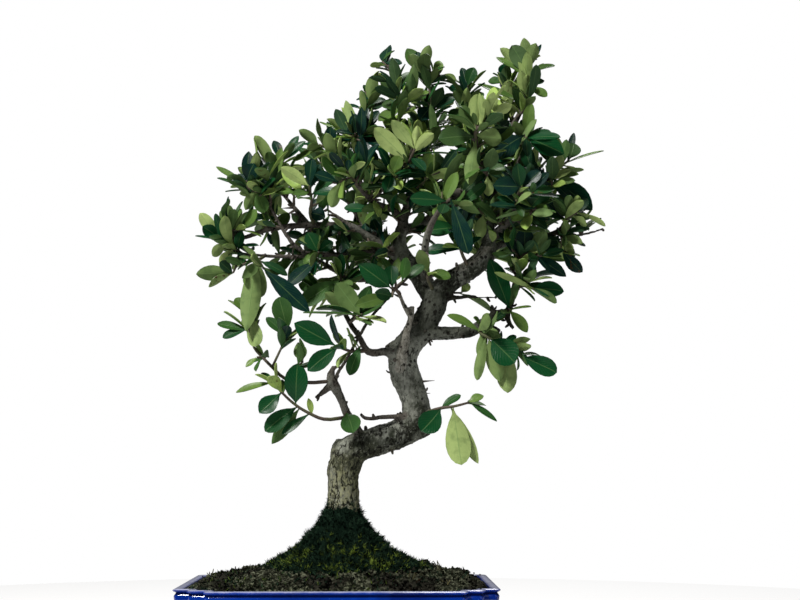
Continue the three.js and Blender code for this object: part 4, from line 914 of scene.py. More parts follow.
LEAFY_BRANCHES = {
    "low_left": branch(
        [[2, 182, -8], [-12, 181, -15], [-22, 185, -18], [-32, 191, -20], [-42, 200, -22], [-48, 207, -23]],
        head(0, 0, [9, 171, -4, 14, 1], place=[4, 186, -14]),
        head(2, 0, [-42, 170, -4, 6, 0.7], [-23, 196, -2, 4, 0.5]),
        head(3, 0, [-31, 221, -6, 16, 1], [-54, 172, -3, 12, 0.9], [-49, 163, 6, 9, -0.9]),
        head(4, 0, [-58, 185, -5, 12, 0.8]), head(5, 1, [-75, 200, 3, 6, 0.5], [-57, 214, 0, 5, 0.4])),
    "long_left": branch(
        [[-7, 208, -10], [-25, 207, -14], [-40, 210, -18], [-49, 218, -20], [-56, 225, -20],
         [-62, 232, -19], [-66, 246, -18], [-68, 259, -16]],
        head(2, 0, [-31, 236, 4, 9, -0.8], place=[-27, 222, -26]),
        head(3, 1, [-45, 269, -4, 14, 0.9], [-54, 254, 3, 8, 0.5], place=[-38, 242, -26]),
        head(4, 0, [-68, 218, -2, 4, 0.5], place=[-60, 225, -22]),
        head(6, 1, [-85, 239, -3, 7, 0.6], [-89, 249, 2, 8, 0.5]),
        head(7, 1, [-60, 232, -8, 11, -0.7], [-76, 268, 2, 8, 0.5])),
    "inner_left": branch(
        [[19, 230, -11], [10, 229, -20], [2, 231, -29], [-3, 233, -34]],
        head(1, 0, [6, 212, -2, 9, 0.8], place=[14, 233, -27]),
        head(3, 1, [-34, 250, -6, 15, 1], [-24, 215, -4, 12, 1])),
    "inner_left_top": branch(
        [[6, 250, -14], [11, 254, -27], [15, 256, -32]],
        head(2, 1, [-28, 257, -8, 6, 0.15], [-4, 279, 0, 14, -1]),
        head(1, 1, [-12, 272, -3, 8, -0.6], place=[2, 260, -24])),
    "shoulder": branch(
        [[42, 271, -18], [38, 275, -27], [36, 275, -31]],
        head(2, 0, [12, 293, -4, 14, 1], [36, 292, 5, 10, 0.7]),
        head(1, 1, [60, 292, 0, 8, 0.6], place=[45, 281, -30])),
    "fork_tuft": branch(
        [[66, 274, -6], [62, 283, -14], [63, 287, -19]],
        head(2, 1, [79, 283, -2, 8, 0.7], [56, 304, -2, 9, -0.5])),
    "left_under": branch(
        [[1, 285, 20], [-1, 278, 8], [-1, 281, -6]],
        head(2, 1, [-31, 262, -6, 13, 0.9]), head(1, 2, [-30, 286, 3, 9, 0.5], place=[-14, 272, 8])),
    "left_under_back": branch(
        [[-18, 296, 15], [-27, 300, 12], [-34, 296, 9]],
        head(1, 1, [-38, 279, 3, 9, 0.7]), head(2, 1, [-52, 284, 2, 10, 0.6])),
    "left_hanging": branch(
        [[-55, 299, -8], [-60, 296, -17], [-62, 297, -20]],
        head(2, 0, [-66, 262, -5, 12, -0.7], [-57, 268, 4, 9, -0.5]),
        head(1, 0, [-22, 257, -4, 12, 0.9], place=[-56, 289, -23])),
    "left_edge": branch(
        [[-72, 300, -10], [-78, 304, -14], [-84, 308, -16], [-90, 312, -17]],
        head(3, 0, [-103, 330, -3, 9, -0.7], [-101, 320, -8, 9, 1], [-106, 313, 4, 4, 0.3]),
        head(2, 1, [-93, 298, -3, 8, -0.5]), head(1, 1, [-87, 290, -3, 9, -0.5], [-60, 307, -3, 5, 0.4])),
    "left_low_inner": branch(
        [[-14, 299, 1], [-16, 303, -10], [-17, 301, -16]],
        head(2, 1, [-25, 316, -3, 11, 0.9], [-6, 309, -2, 8, 0.8], [-32, 309, 3, 5, 0.4])),
    "left_mid": branch(
        [[-76, 311, -8], [-80, 317, -12], [-80, 323, -14]],
        head(2, 1, [-82, 336, -2, 5, -0.6], [-72, 339, 4, 3, 0.2], [-87, 326, 0, 6, 0.5]),
        head(1, 1, [-62, 333, -3, 8, 0.6], [-75, 304, 0, 7, 0.6], place=[-70, 318, -15])),
    "left_mid_inner": branch(
        [[-54, 318, -4], [-56, 322, 6], [-55, 326, 10]],
        head(2, 1, [-68, 328, 3, 8, 0.5], [-49, 342, -2, 9, 0.7]),
        head(1, 1, [-53, 309, 4, 9, 0.7], [-38, 330, 3, 9, 0.7], place=[-48, 314, 9])),
    "left_upper": branch(
        [[-56, 343, -11], [-62, 346, -14], [-68, 348, -16], [-70, 354, -17]],
        head(1, 0, [-56, 330, -4, 10, 0.8], [-50, 356, 3, 8, 0.6]),
        head(2, 0, [-91, 356, 2, 4, 0.4], [-84, 357, -4, 9, -0.6], [-85, 346, 5, 3, 0.2],
             [-70, 332, -5, 7, -0.5]),
        head(3, 1, [-68, 376, 3, 8, 0.8], [-64, 367, -5, 12, 1], [-92, 364, 5, 5, 0.5])),
    "left_top": branch(
        [[-52, 335, -11], [-51, 350, -8], [-49, 361, -8]],
        head(2, 1, [-64, 388, -4, 9, -0.5], [-54, 376, -7, 8, -0.6], [-62, 374, 4, 3, 0.2],
             [-64, 367, 1, 5, 0.3], [-44, 379, -1, 7, 0.8]),
        head(2, 0, [-32, 388, 3, 6, 0.5], [-27, 384, -3, 7, 0.6],
             [-50, 384, 6, 7, 0.5], place=[-42, 370, -4])),
    "left_inner": branch(
        [[-20, 321, 0], [-23, 330, -12], [-22, 340, -26], [-24, 350, -36]],
        head(1, 0, [-12, 327, -4, 10, 0.9], [-18, 341, 4, 5, 0.5]),
        head(3, 1, [-45, 364, -5, 8, -0.7], [-22, 371, -3, 8, 0.9], [-16, 367, 2, 6, 0.8],
             [-36, 344, 0, 7, 0.6], [-1, 346, -4, 8, 0.6], [-5, 358, 2, 9, 0.6])),
    "left_peak": branch(
        [[11, 362, 0], [1, 370, 0], [-8, 377, -2], [-17, 381, -4]],
        head(3, 1, [-32, 392, -2, 8, -0.5], [-26, 378, -5, 6, -0.6], [-36, 369, 0, 6, 0.5]),
        head(2, 1, [-9, 395, -3, 9, 0.9], [-5, 386, -7, 8, -0.5], [-17, 391, 3, 6, 0.3])),
    "left_crest": branch(
        [[10, 383, 6], [9, 386, 0], [4, 388, -4]],
        head(2, 0, [-5, 408, -3, 8, -0.7], [-11, 401, 3, 7, -0.4], [-17, 398, 5, 5, 0.3],
             [9, 405, 2, 8, 0.3]),
        head(1, 1, [14, 410, -2, 7, 0.8], [19, 409, 4, 6, 0.8], [19, 370, -6, 11, 1],
             [-5, 386, -2, 6, 0.3], [2, 415, 9, 8, -0.6], place=[13, 384, -9])),
    "small_light": branch(
        [[11, 351, -40], [7, 357, -48], [4, 361, -53]],
        head(2, 1, [5, 370, -2, 4, 0.7], [17, 368, -3, 5, -0.5], [-4, 363, -4, 5, -0.5]),
        head(1, 1, [-20, 359, -3, 9, 0.6], [-8, 334, -2, 9, -0.5], place=[-2, 353, -50])),
    "reddish": branch(
        [[35, 353, -15], [37, 358, -27], [36, 360, -34]],
        head(2, 1, [42, 373, -3, 9, 0.9], [32, 345, -3, 9, 0.8], [21, 360, 3, 7, 0.4],
             [56, 361, 0, 8, 0.4])),
    "centre_peak": branch(
        [[45, 367, -14], [47, 366, -26], [49, 369, -36], [53, 378, -44]],
        head(2, 0, [23, 394, -10, 12, -0.8], [36, 380, -2, 4, 0.3]),
        head(3, 0, [36, 400, -6, 9, -0.7], [55, 396, -2, 5, -0.4], [67, 390, -5, 8, -0.6],
             [80, 375, 3, 5, 0.1], [61, 362, -4, 8, 0.4])),
    "top_left": branch(
        [[51, 359, -8], [46, 371, -3], [42, 384, -4], [41, 399, -4], [43, 412, -3], [40, 426, -1],
         [36, 437, 0], [29, 444, 0]],
        head(4, 0, [28, 424, 2, 6, -0.5], [54, 425, -5, 10, -0.8], [26, 399, -4, 9, 0.6],
             [29, 412, 3, 9, 0.6]),
        head(5, 1, [19, 432, 2, 5, -0.4], [51, 436, -3, 8, 0.5]),
        head(7, 1, [38, 453, 2, 4, 0.2], [44, 443, -2, 7, 0.6], [20, 441, 0, 5, -0.4])),
    "top_side": branch(
        [[10, 385, 6], [14, 397, 12], [18, 408, 14], [22, 417, 14]],
        head(2, 1, [32, 415, -3, 10, 0.7], [2, 411, 2, 5, 0.4]),
        head(3, 1, [15, 426, 0, 5, 0.5], [10, 415, 2, 5, 0.4], [30, 426, 4, 8, 0.6])),
    "top_mid": branch(
        [[55, 350, -2], [61, 371, 2], [64, 393, 4], [66, 410, 4], [63, 426, 4], [59, 438, 2]],
        head(3, 1, [57, 400, -8, 12, 0.9], [83, 416, -2, 8, 0.6], [74, 425, -5, 9, -0.4]),
        head(5, 1, [64, 457, -3, 8, -0.7], [55, 452, 1, 8, 0.9], [47, 454, 5, 11, 0.9],
             [49, 450, -5, 9, -0.5], [75, 441, 1, 5, 0.3]),
        head(4, 1, [84, 430, -3, 6, -0.5], [88, 428, 4, 5, 0.4], [71, 445, 3, 7, 0.7], place=[72, 434, 6])),
    "centre_right": branch(
        [[98, 385, -45], [98, 392, -51], [104, 398, -55], [111, 405, -58]],
        head(1, 0, [99, 420, -4, 10, -0.8], [87, 411, -2, 9, -0.7], [117, 386, -5, 13, -0.6],
             [70, 386, -2, 14, 0.9], [93, 350, -6, 10, -0.9]),
        head(3, 0, [112, 420, -1, 5, -0.6], [125, 412, -2, 7, -0.7], [116, 395, 3, 6, 0.4])),
    "right_saddle": branch(
        [[97, 374, -4], [91, 392, 6], [90, 410, 8], [92, 426, 8]],
        head(3, 1, [97, 440, -2, 9, 0.9], [88, 440, 3, 6, 0.6], [78, 424, -2, 8, 0.7]),
        head(2, 1, [104, 421, 2, 9, 0.6], [78, 402, -2, 9, 0.6])),
    "right_peak": branch(
        [[132, 408, -2], [135, 416, -7], [137, 429, -6], [137, 442, -4]],
        head(1, 0, [131, 438, -6, 8, -0.8], [142, 428, -4, 7, 0.6], [99, 427, 7, 9, 0.4]),
        head(2, 0, [146, 439, -3, 7, 0.8], [149, 430, 2, 6, 0.6], [151, 418, -3, 7, 0.7]),
        head(3, 0, [134, 463, -2, 8, -0.5], [143, 459, -4, 9, -0.5], [147, 458, 5, 4, 0.4],
             [157, 442, 0, 6, 0.5], [125, 457, -2, 13, -0.6], [117, 455, 4, 9, -0.5],
             [113, 448, 9, 7, 0.5])),
    "right_peak_back": branch(
        [[125, 395, 0], [122, 412, 12], [120, 430, 16]],
        head(2, 2, [119, 443, -2, 9, 0.8], [107, 430, 2, 8, 0.6]), head(1, 3, [108, 411, 2, 9, 0.6])),
    "right_shoulder": branch(
        [[133, 384, -10], [134, 389, -18]],
        head(1, 1, [109, 372, -6, 16, 1], [163, 375, -3, 15, 0.9], [139, 413, -2, 8, 0.8],
             [147, 395, 4, 4, 0.3], [126, 399, 2, 7, -0.5], [138, 363, -6, 10, 0.9])),
    "right_edge": branch(
        [[152, 356, 4], [155, 359, -5], [160, 365, -2], [166, 370, 2]],
        head(1, 0, [161, 374, -3, 8, -0.7], [177, 363, 2, 5, -0.4], [173, 360, -5, 6, 0.6],
             [131, 360, -4, 10, 0.9], [183, 333, -3, 16, 0.9], [149, 340, -3, 12, 0.8]),
        head(3, 0, [170, 383, 0, 12, 0.9], [170, 391, 5, 5, 0.3], [192, 377, 0, 4, 0.3])),
    "right_tip": branch(
        [[162, 323, 4], [164, 327, -6], [171, 331, -8]],
        head(1, 1, [168, 342, -4, 9, -0.8], [156, 345, 3, 10, 0.8], [148, 332, 4, 8, 0.6]),
        head(2, 0, [192, 321, -2, 6, -0.3], [179, 342, 3, 8, 0.6], [178, 321, -4, 8, -0.4])),
    "right_front": branch(
        [[136, 332, -48], [141, 334, -58]],
        head(1, 0, [107, 337, -3, 8, 0.5], [127, 341, 3, 6, 0.4], [119, 348, 6, 6, 0.4],
             [112, 326, -2, 5, -0.3], [156, 341, 0, 5, 0.4], [156, 332, -5, 4, 0.3],
             [134, 318, -5, 9, -0.4], [149, 318, -4, 7, 0.6], [150, 351, 4, 14, 0.9])),
    "right_low": branch(
        [[157, 317, 6], [160, 311, -2], [158, 302, -5]],
        head(1, 1, [169, 297, -4, 6, -0.6], [177, 306, 0, 5, 0.4]),
        head(2, 1, [173, 299, -1, 4, 0.3], [147, 302, -3, 7, 0.7])),
    "right_mid": branch(
        [[127, 287, -9], [129, 296, -14], [132, 300, -19], [140, 301, -20]],
        head(1, 1, [117, 319, -3, 7, 0.8], [109, 301, -2, 7, 0.6]),
        head(2, 0, [133, 319, -4, 12, 0.9], [123, 309, 3, 6, 0.4]),
        head(3, 1, [144, 318, -3, 9, -0.7], [163, 284, -3, 9, 0.8], [162, 295, 3, 5, 0.6])),
    "right_low_pair": branch(
        [[124, 273, -8], [131, 277, -15], [139, 275, -19]],
        head(2, 0, [110, 287, -5, 6, -0.4], [161, 273, -2, 11, 0.9], [156, 265, -5, 7, -0.5],
             [138, 289, 2, 4, 0.4])),
    "right_node": branch(
        [[119, 259, -9], [121, 260, -18]],
        head(1, 0, [107, 297, -4, 14, 1], [134, 243, -2, 8, 0.7], [137, 262, 3, 4, 0.3])),
    "right_hanging": branch(
        [[101, 249, -8], [100, 243, -19], [107, 239, -23], [120, 233, -16], [129, 226, -16]],
        head(1, 0, [103, 223, 0, 9, -0.8], [76, 256, -4, 8, 0.5]),
        head(2, 0, [125, 221, -7, 19, 1], [114, 207, 2, 12, -1], [97, 208, -3, 7, -0.7]),
        head(3, 0, [119, 199, -2, 14, -1]), head(4, 0, [155, 214, -4, 13, 1], [143, 227, 4, 4, 0.4])),
    "elbow_right": branch(
        [[59, 185, -6], [72, 189, -14], [80, 190, -18], [92, 193, -16]],
        head(1, 0, [57, 172, -4, 16, 1], [86, 198, 0, 8, 0.4]),
        head(2, 0, [86, 148, -4, 17, -1], [98, 149, 4, 9, -1]),
        head(3, 1, [112, 180, -2, 5, 0.5], [102, 198, 0, 7, 0.5])),
    "inner_front": branch(
        [[73, 336, -47], [79, 341, -54]],
        head(1, 0, [92, 300, -6, 12, 1], [101, 330, 2, 8, -0.4], [49, 341, -2, 10, 0.9],
             [72, 330, -5, 8, 0.7], [84, 361, 3, 8, 0.6])),
    "inner_olive": branch(
        [[92, 290, -9], [86, 304, -20], [84, 320, -27]],
        head(2, 0, [61, 318, -3, 12, 0.8], [66, 334, 4, 10, 0.7], [97, 334, 3, 8, 0.5]),
        head(1, 1, [60, 302, -3, 9, 0.6], [78, 322, 3, 8, 0.7])),
    "inner_right": branch(
        [[105, 318, 0], [103, 326, -14], [103, 330, -20]],
        head(2, 1, [100, 311, -2, 9, -0.4], [114, 324, 0, 6, -0.5], [126, 314, 4, 5, 0.3])),
    "centre_low": branch(
        [[56, 351, -4], [60, 354, -18], [61, 357, -24]],
        head(2, 1, [85, 361, -4, 8, -0.6], [71, 368, 3, 9, -0.5], [46, 350, 0, 8, 0.5],
             [70, 345, -3, 9, 0.8])),
    "front_right": branch(
        [[128, 343, -56], [131, 350, -66]],
        head(1, 1, [110, 351, -5, 13, 1], [128, 368, -2, 9, 0.8], [145, 362, 0, 9, 0.7])),
    "front_mid": branch(
        [[99, 372, -32], [105, 362, -42], [106, 358, -46]],
        head(2, 1, [107, 343, -2, 7, -0.3], [120, 364, -3, 9, 0.7], [90, 362, 4, 9, 0.6])),
    # Back of the crown
    "back_right": branch(
        [[119, 357, 60], [122, 368, 68], [121, 384, 70]],
        head(0, 2, place=[134, 362, 68]), head(1, 2, place=[106, 372, 78]), head(2, 2)),
    "back_mid": branch(
        [[63, 379, 61], [60, 392, 66], [63, 408, 62]],
        head(0, 2, place=[46, 384, 72]), head(1, 2, place=[78, 396, 72]), head(2, 2),
        head(2, 2, place=[50, 410, 52])),
    "back_left": branch(
        [[-5, 356, 59], [-10, 368, 64], [-6, 380, 60]],
        head(0, 2, place=[-22, 356, 66]), head(1, 2, place=[6, 372, 74]), head(2, 2)),
    "back_low_right": branch(
        [[126, 311, 62], [136, 318, 70], [146, 326, 72]],
        head(0, 2, place=[120, 322, 76]), head(1, 2, place=[140, 306, 76]), head(2, 2)),
    "back_low_left": branch(
        [[8, 299, 68], [0, 306, 76], [-6, 316, 80]],
        head(0, 2, place=[14, 290, 78]), head(1, 2, place=[-14, 300, 78]), head(2, 2)),
    "back_far_left": branch(
        [[-40, 342, 37], [-50, 348, 44], [-58, 356, 44]],
        head(0, 2, place=[-36, 354, 46]), head(1, 2, place=[-60, 340, 50]), head(2, 2)),
    "back_centre": branch(
        [[67, 345, 40], [54, 348, 54], [42, 352, 66]],
        head(1, 2, place=[60, 334, 66]), head(2, 2), head(2, 2, place=[36, 336, 74])),
    "back_inner_right": branch(
        [[113, 339, 33], [100, 344, 48], [92, 352, 60]],
        head(1, 2, place=[98, 330, 62]), head(2, 2), head(2, 2, place=[84, 366, 68])),
}
ROOT_OUT = 0.6
LEAF_FOLD = 0.1
LEAF_SPACING = 1.8
LEAF_TRIES = 12
LEAF_MISFIT = 1.7
TRY_BEND = 3
GOLDEN_TURN = 2.39996
TO_FRONT = Vector((0, -1, 0))
LEAF_CORNERS = ((0, 0), (0.3, 0.8), (0.72, 0.92), (1, 0), (0.72, -0.92), (0.3, -0.8))
STALK_SHARE = 0.1
BLADE_THICK = 0.4
STEM_ROOT = 1.35
STEM_TAPER = 0.55
STEM_TIP = 0.8
HEAD_STEM = (0.95, 0.7)
SHOOT_STEM = (1.2, 0.7)
SHOOT_SPACING = 9
SHOOTS_ABOVE = 262
ADDED_SLIM = 0.74
FRESH_SHARE = 0.25
BLEMISHED_SHARE = 0.07
CLEAR_OF_BARK = 2.2
CROWN_HEART = Vector((30, 10, 320))
# Outline of the leaves as seen from the front, and the chinks where light shows through them
CROWN_OUTLINE = [
    (26, 444), (41, 453), (48, 457), (56, 453), (64, 459), (70, 447), (74, 437), (82, 430), (90, 440),
    (100, 430), (110, 436), (116, 447), (122, 458), (138, 465), (148, 461), (150, 452), (158, 440),
    (143, 432), (142, 419), (143, 406), (152, 394), (162, 389), (173, 384), (178, 370), (175, 361),
    (183, 343), (191, 327), (180, 319), (192, 313), (176, 308), (167, 294), (162, 283), (160, 270),
    (147, 267), (134, 258), (110, 266), (100, 262), (120, 262), (136, 240), (148, 216), (152, 214),
    (150, 208), (138, 209), (128, 200), (108, 216), (98, 240), (84, 270), (64, 296), (40, 270), (16, 240),
    (8, 208), (-10, 206), (-34, 200), (-50, 196), (-66, 206), (-69, 240), (-89, 247), (-93, 262),
    (-96, 276), (-104, 284), (-102, 290), (-85, 294), (-92, 307), (-98, 314), (-102, 324), (-100, 332),
    (-87, 335), (-83, 342), (-90, 363), (-77, 370), (-74, 376), (-60, 389), (-48, 385), (-38, 380),
    (-31, 387), (-15, 393), (-5, 402), (0, 410), (6, 417), (14, 428),
]
CHINKS = [
    (28, 340, 4), (38, 322, 5), (48, 326, 4), (57, 310, 4), (70, 357, 3), (78, 357, 3), (86, 300, 4),
    (110, 322, 3), (-10, 288, 5), (-38, 296, 4), (100, 275, 6), (112, 290, 5), (-35, 335, 5), (-6, 334, 4),
    (2, 327, 4), (-69, 312, 4), (-7, 309, 3), (26, 360, 3), (42, 274, 6), (118, 324, 3), (153, 318, 3),
    (168, 351, 3), (112, 274, 6), (96, 288, 5), (-62, 328, 4), (3, 266, 5), (-62, 309, 4), (-52, 309, 4),
    (-42, 309, 4), (-30, 336, 5), (-22, 333, 5),
]
# Limbs that nothing hides from the front
CLEAR_LIMBS = [
    (50, 320, 9), (46, 305, 9), (28, 316, 8), (14, 322, 6), (71, 315, 7), (88, 290, 10), (100, 298, 9),
    (76, 276, 10), (60, 292, 10), (-20, 322, 4), (-42, 320, 4), (80, 342, 4), (64, 302, 6), (-60, 316, 4),
    (-70, 313, 4), (-30, 321, 4), (-55, 299, 4), (-30, 299, 4), (-10, 300, 4),
]
# Twig and leaves at the left edge that the solids don't have: a stem, then base, tip, width and turn
EDGE_TWIG = [[-74, 300, -10, 1.0], [-76, 291, -14, 0.85], [-78, 286, -15, 0.7]]
EDGE_LEAVES = [((-79, 286, -15), (-105, 285, -16), 11, -0.7), ((-78, 286, -15), (-96, 276, -20), 8, -0.4),
               ((-78, 285, -15), (-88, 294, -20), 8, 0.6)]
# The long leaf that hangs at the left outgrows its solid
LONG_LEAF_REACH = 1.55
LONG_LEAF_WIDTH = 1.15
# Leaves whose colour stands out from the front: across and up of their middle, age and tone
STANDING_OUT = [
    (-64, 268, 0.12, 0.8), (-41, 271, 0, 0.05), (-40, 258, 0.14, 0.5), (-19, 273, 0.06, 0.8),
    (-20, 244, 0, 0.5), (6, 273, 0.16, 0.5), (22, 288, 0, 0.55), (-10, 229, 0, 0.5), (-31, 230, 0.2, 0.4),
    (-95, 284, 0.22, 0.5), (-36, 290, 0.16, 0.6), (-35, 358, 1, 0.7), (42, 390, 0.75, 0.7),
    (58, 388, 1, 1), (13, 395, 0, 0.1), (17, 376, 0, 0.1), (-22, 361, 0, 0.2), (-67, 358, 0, 0.1),
    (-98, 325, 1, 0.6), (-93, 318, 0, 0.5), (100, 408, 0.8, 0.7), (117, 411, 1, 0.9),
    (91, 403, 0.12, 0.5), (104, 386, 0.24, 0.7), (91, 365, 0.2, 0.7), (122, 380, 0, 0.15),
    (151, 380, 0, 0.5), (89, 319, 0, 0.05), (115, 283, 0, 0.5), (131, 430, 0.8, 0.5), (141, 359, 0, 0.1),
    (120, 349, 0, 0.1), (168, 346, 0, 0.25), (151, 277, 0, 0.5), (153, 289, 0, 0.15), (133, 308, 0, 0.1),
    (-31, 208, 0, 0.5), (-20, 225, 0, 0.5), (9, 221, 0.06, 0.6), (-50, 192, 0, 0.5), (-45, 178, 0, 0.6),
    (8, 180, 0.04, 0.75), (10, 197, 0.9, 0.6), (66, 182, 0, 0.5), (83, 166, 0.7, 0.8), (93, 159, 0.7, 1),
    (118, 231, 0, 0.5), (137, 219, 0, 0.5), (113, 223, 0.24, 0.7), (122, 206, 0.2, 0.7),
    (96, 238, 0.24, 0.6), (-26, 190, 1, 0.8),
]
STANDING_OUT_REACH = 8


class Leaf:
    """Where a leaf lies: its base, tip and width, and the way that its upper face looks."""

    def __init__(self, base, tip, width, face):
        reach = tip - base
        self.width = width
        self.along = reach.normalized()
        self.normal = (face - self.along * face.dot(self.along)).normalized()
        self.across = self.along.cross(self.normal)
        self.root = base + self.along * ROOT_OUT
        self.turned = False
        self.length = reach.length - ROOT_OUT

    def at(self, share, spread, lift=0.0):
        rise = abs(spread) * LEAF_FOLD * self.width + lift
        return (self.root + self.along * (share * self.length) + self.across * (spread * self.width / 2)
                + self.normal * rise)

    def outline(self):
        return [self.at(*spot) for spot in LEAF_CORNERS]


def facing(turned):
    """The way that a leaf's upper face looks: up, or turned to the front or away from it."""
    return UPWARD * (1 - abs(turned)) + TO_FRONT * (turned + 0.05)


def placed_leaf(twig, order, leaf, attempt):
    """A leaf that the front view shows. Each further try bends it further forward or back."""
    across, up, depth, width, turned = leaf
    bend = (1 if attempt % 2 else -1) * math.ceil(attempt / 2) * TRY_BEND
    base = twig["end"] - twig["axis"] * LEAF_SPACING * order
    return Leaf(base, seen(across, up, twig["depth"] + depth + bend), width, facing(turned))


def round_leaf(twig, order, seed, attempt, large=1.0, slim=1.0):
    """A leaf set round its twig by rule. Each further try turns it round the twig."""
    draw = Draw(seed)
    axis = twig["axis"]
    turn = order * GOLDEN_TURN + draw() * 0.8 + attempt * 0.5
    lean = 0.55 + 0.6 * draw()
    length = (15 + 10 * draw()) * large
    out = UPWARD.cross(axis)
    if out.length < 0.2:
        out = Vector((1, 0, 0)).cross(axis)
    out = Matrix.Rotation(turn, 3, axis) @ out.normalized()
    along = (axis * math.cos(lean) + out * math.sin(lean) + UPWARD * 0.25).normalized()
    base = twig["end"] - axis * LEAF_SPACING * order
    width = length * (0.38 + 0.08 * draw()) * slim
    leaf = Leaf(base, base + along * length, width, axis * 0.7 + UPWARD * 0.6)
    outwards = (base - CROWN_HEART).normalized() + UPWARD * 0.3
    leaf.turned = leaf.normal.dot(outwards) < 0 and draw() < 0.8
    return leaf


def misfit(leaf, surface):
    """How far a leaf's tip and shoulders lie from a branch's solid, in millimetres."""
    spots = ((1, 0), (0.74, 0.9), (0.74, -0.9))
    return sum(surface.find_nearest(leaf.at(*spot) * MM)[3] for spot in spots) / MM


def best_leaf(make, surface):
    """The try that lies in the branch's solid, or None where the solid has no such leaf."""
    tries = [make(attempt) for attempt in range(LEAF_TRIES)]
    leaf = min(tries, key=lambda one: misfit(one, surface))
    return leaf if misfit(leaf, surface) < LEAF_MISFIT else None


def twig_end(stem, at_head):
    foot = stem[at_head["stem_point"]]
    place = at_head["place"]
    before = foot if place else stem[max(at_head["stem_point"] - 1, 0)]
    end = seen(*(place or foot))
    return {"end": end, "depth": (place or foot)[2], "axis": (end - seen(*before)).normalized()}


solid_low, solid_high = Vector(cad_box[0]) / MM, Vector(cad_box[1]) / MM
settled = []


def room_taken(leaf):
    """A leaf's middle, how far it reaches from there, and its blade."""
    blade = BVHTree.FromPolygons(leaf.outline(), [(0, 1, 2, 3), (0, 3, 4, 5)])
    return leaf.at(0.5, 0), leaf.length / 2 + leaf.width / 2, blade


def settle(leaf):
    """Keeps a leaf's place taken, for the leaves that are set after it."""
    settled.append(room_taken(leaf))


def crosses_others(leaf):
    middle, reach, blade = room_taken(leaf)
    return any((other_middle - middle).length < reach + other_reach and blade.overlap(other)
               for other_middle, other_reach, other in settled)


def inside_crown(point):
    across, up = point
    crossings = 0
    for (x1, z1), (x2, z2) in zip(CROWN_OUTLINE, CROWN_OUTLINE[1:] + CROWN_OUTLINE[:1]):
        if (z1 > up) != (z2 > up) and across < x1 + (up - z1) / (z2 - z1) * (x2 - x1):
            crossings += 1
    return crossings % 2 == 1


def has_room(leaf):
    """Whether a leaf keeps to the crown's outline, off the chinks, and crosses nothing settled."""
    points = leaf.outline()
    for point in points:
        within = (low + 1 < value < high - 1 for low, value, high in zip(solid_low, point, solid_high))
        if not all(within) or not inside_crown(as_seen(point)):
            return False
    for point in [*points, leaf.at(0.5, 0)]:
        across, up = as_seen(point)
        kept_clear = CHINKS if point.y > 6 else CHINKS + CLEAR_LIMBS
        if any(math.hypot(across - x, up - z) < wide for x, z, wide in kept_clear):
            return False
    _, _, _, away = bark_surface.find_nearest(leaf.at(0.5, 0) * MM)
    return away > CLEAR_OF_BARK * MM and not crosses_others(leaf)


def more_leaves(twig, first, seeds, count, tries, low, high):
    """Leaves added round a twig, larger or smaller at random, each where one of its tries has room."""
    added = []
    for i in range(count):
        for attempt in range(tries):
            leaf = round_leaf(twig, first + i, seeds + i, attempt, draw(low, high), ADDED_SLIM)
            if has_room(leaf):
                added.append(leaf)
                settle(leaf)
                break
    return added


def leaf_pattern(turned):
    """Flat leaf, one long and two wide, as two skins with a rim between them."""
    mesh = bmesh.new()
    bmesh.ops.create_grid(mesh, x_segments=4, y_segments=10, size=1)
    for vert in mesh.verts:
        along = (vert.co.y + 1) / 2
        vert.co.y = 0.3 * along + 0.35 * (1 - math.cos(along * math.pi))
    mesh.verts.layers.float_color.new("leaf")
    drawn = bmesh.ops.extrude_face_region(mesh, geom=list(mesh.faces), use_keep_orig=True)["geom"]
    for item in drawn:
        if isinstance(item, bmesh.types.BMVert):
            item.co.z = 1
    bmesh.ops.recalc_face_normals(mesh, faces=mesh.faces)
    web = mesh.loops.layers.uv.new("leaf_map")
    for face in mesh.faces:
        face.normal_update()
        face.smooth = True
        face.material_index = int((face.normal.z < -0.5) != turned)
        for loop in face.loops:
            loop[web].uv = (loop.vert.co.x / 2 + 0.5, loop.vert.co.y)
    for edge in mesh.edges:
        edge.smooth = edge.calc_face_angle(0) < 1
    return data_of("leaf_pattern", mesh)


patterns = [leaf_pattern(False), leaf_pattern(True)]


def leaf_shape(draw):
    """A blade's own outline, arch, droop, waves and sideways sway."""
    foot, tip, point = draw(0.55, 0.9), draw(1.6, 2.7), draw(0.6, 0.95)
    peak = max((step / 40) ** foot * (1 - (step / 40) ** tip) ** point for step in range(41))
    return {"foot": foot, "tip": tip, "point": point, "fill": 1 / peak,
            "arch": draw(0, 0.05), "droop": draw(-0.02, 0.05), "wave": draw(0, 0.05), "waves": draw(5, 11),
            "sway": draw(-0.05, 0.05)}


def leaf_point(leaf, spread, share, side, shape):
    """Place of a point of the pattern on a leaf: rounded, folded, arched and a little waved."""
    blade = max(share - STALK_SHARE, 0) / (1 - STALK_SHARE)
    full = blade ** shape["foot"] * max(1 - blade ** shape["tip"], 0) ** shape["point"] * shape["fill"]
    half = full * leaf.width / 2 + 0.45 * (1 - share) + 0.08
    rise = LEAF_FOLD * leaf.width * abs(spread) ** 1.4 * full
    droop = shape["droop"] * leaf.length * share ** 3
    rise += shape["arch"] * leaf.length * (1 - (2 * share - 1) ** 2) - droop
    rise += shape["wave"] * leaf.width * abs(spread) ** 2 * math.sin(share * shape["waves"] + spread * 2)
    rise += (side - 0.5) * BLADE_THICK - (0.25 * (1 - side) + 0.12) * (abs(spread) < 0.1)
    sway = shape["sway"] * leaf.width * math.sin(share * math.pi)
    reach = share * leaf.length * 0.985
    return leaf.root + leaf.along * reach + leaf.across * (half * spread + sway) + leaf.normal * rise


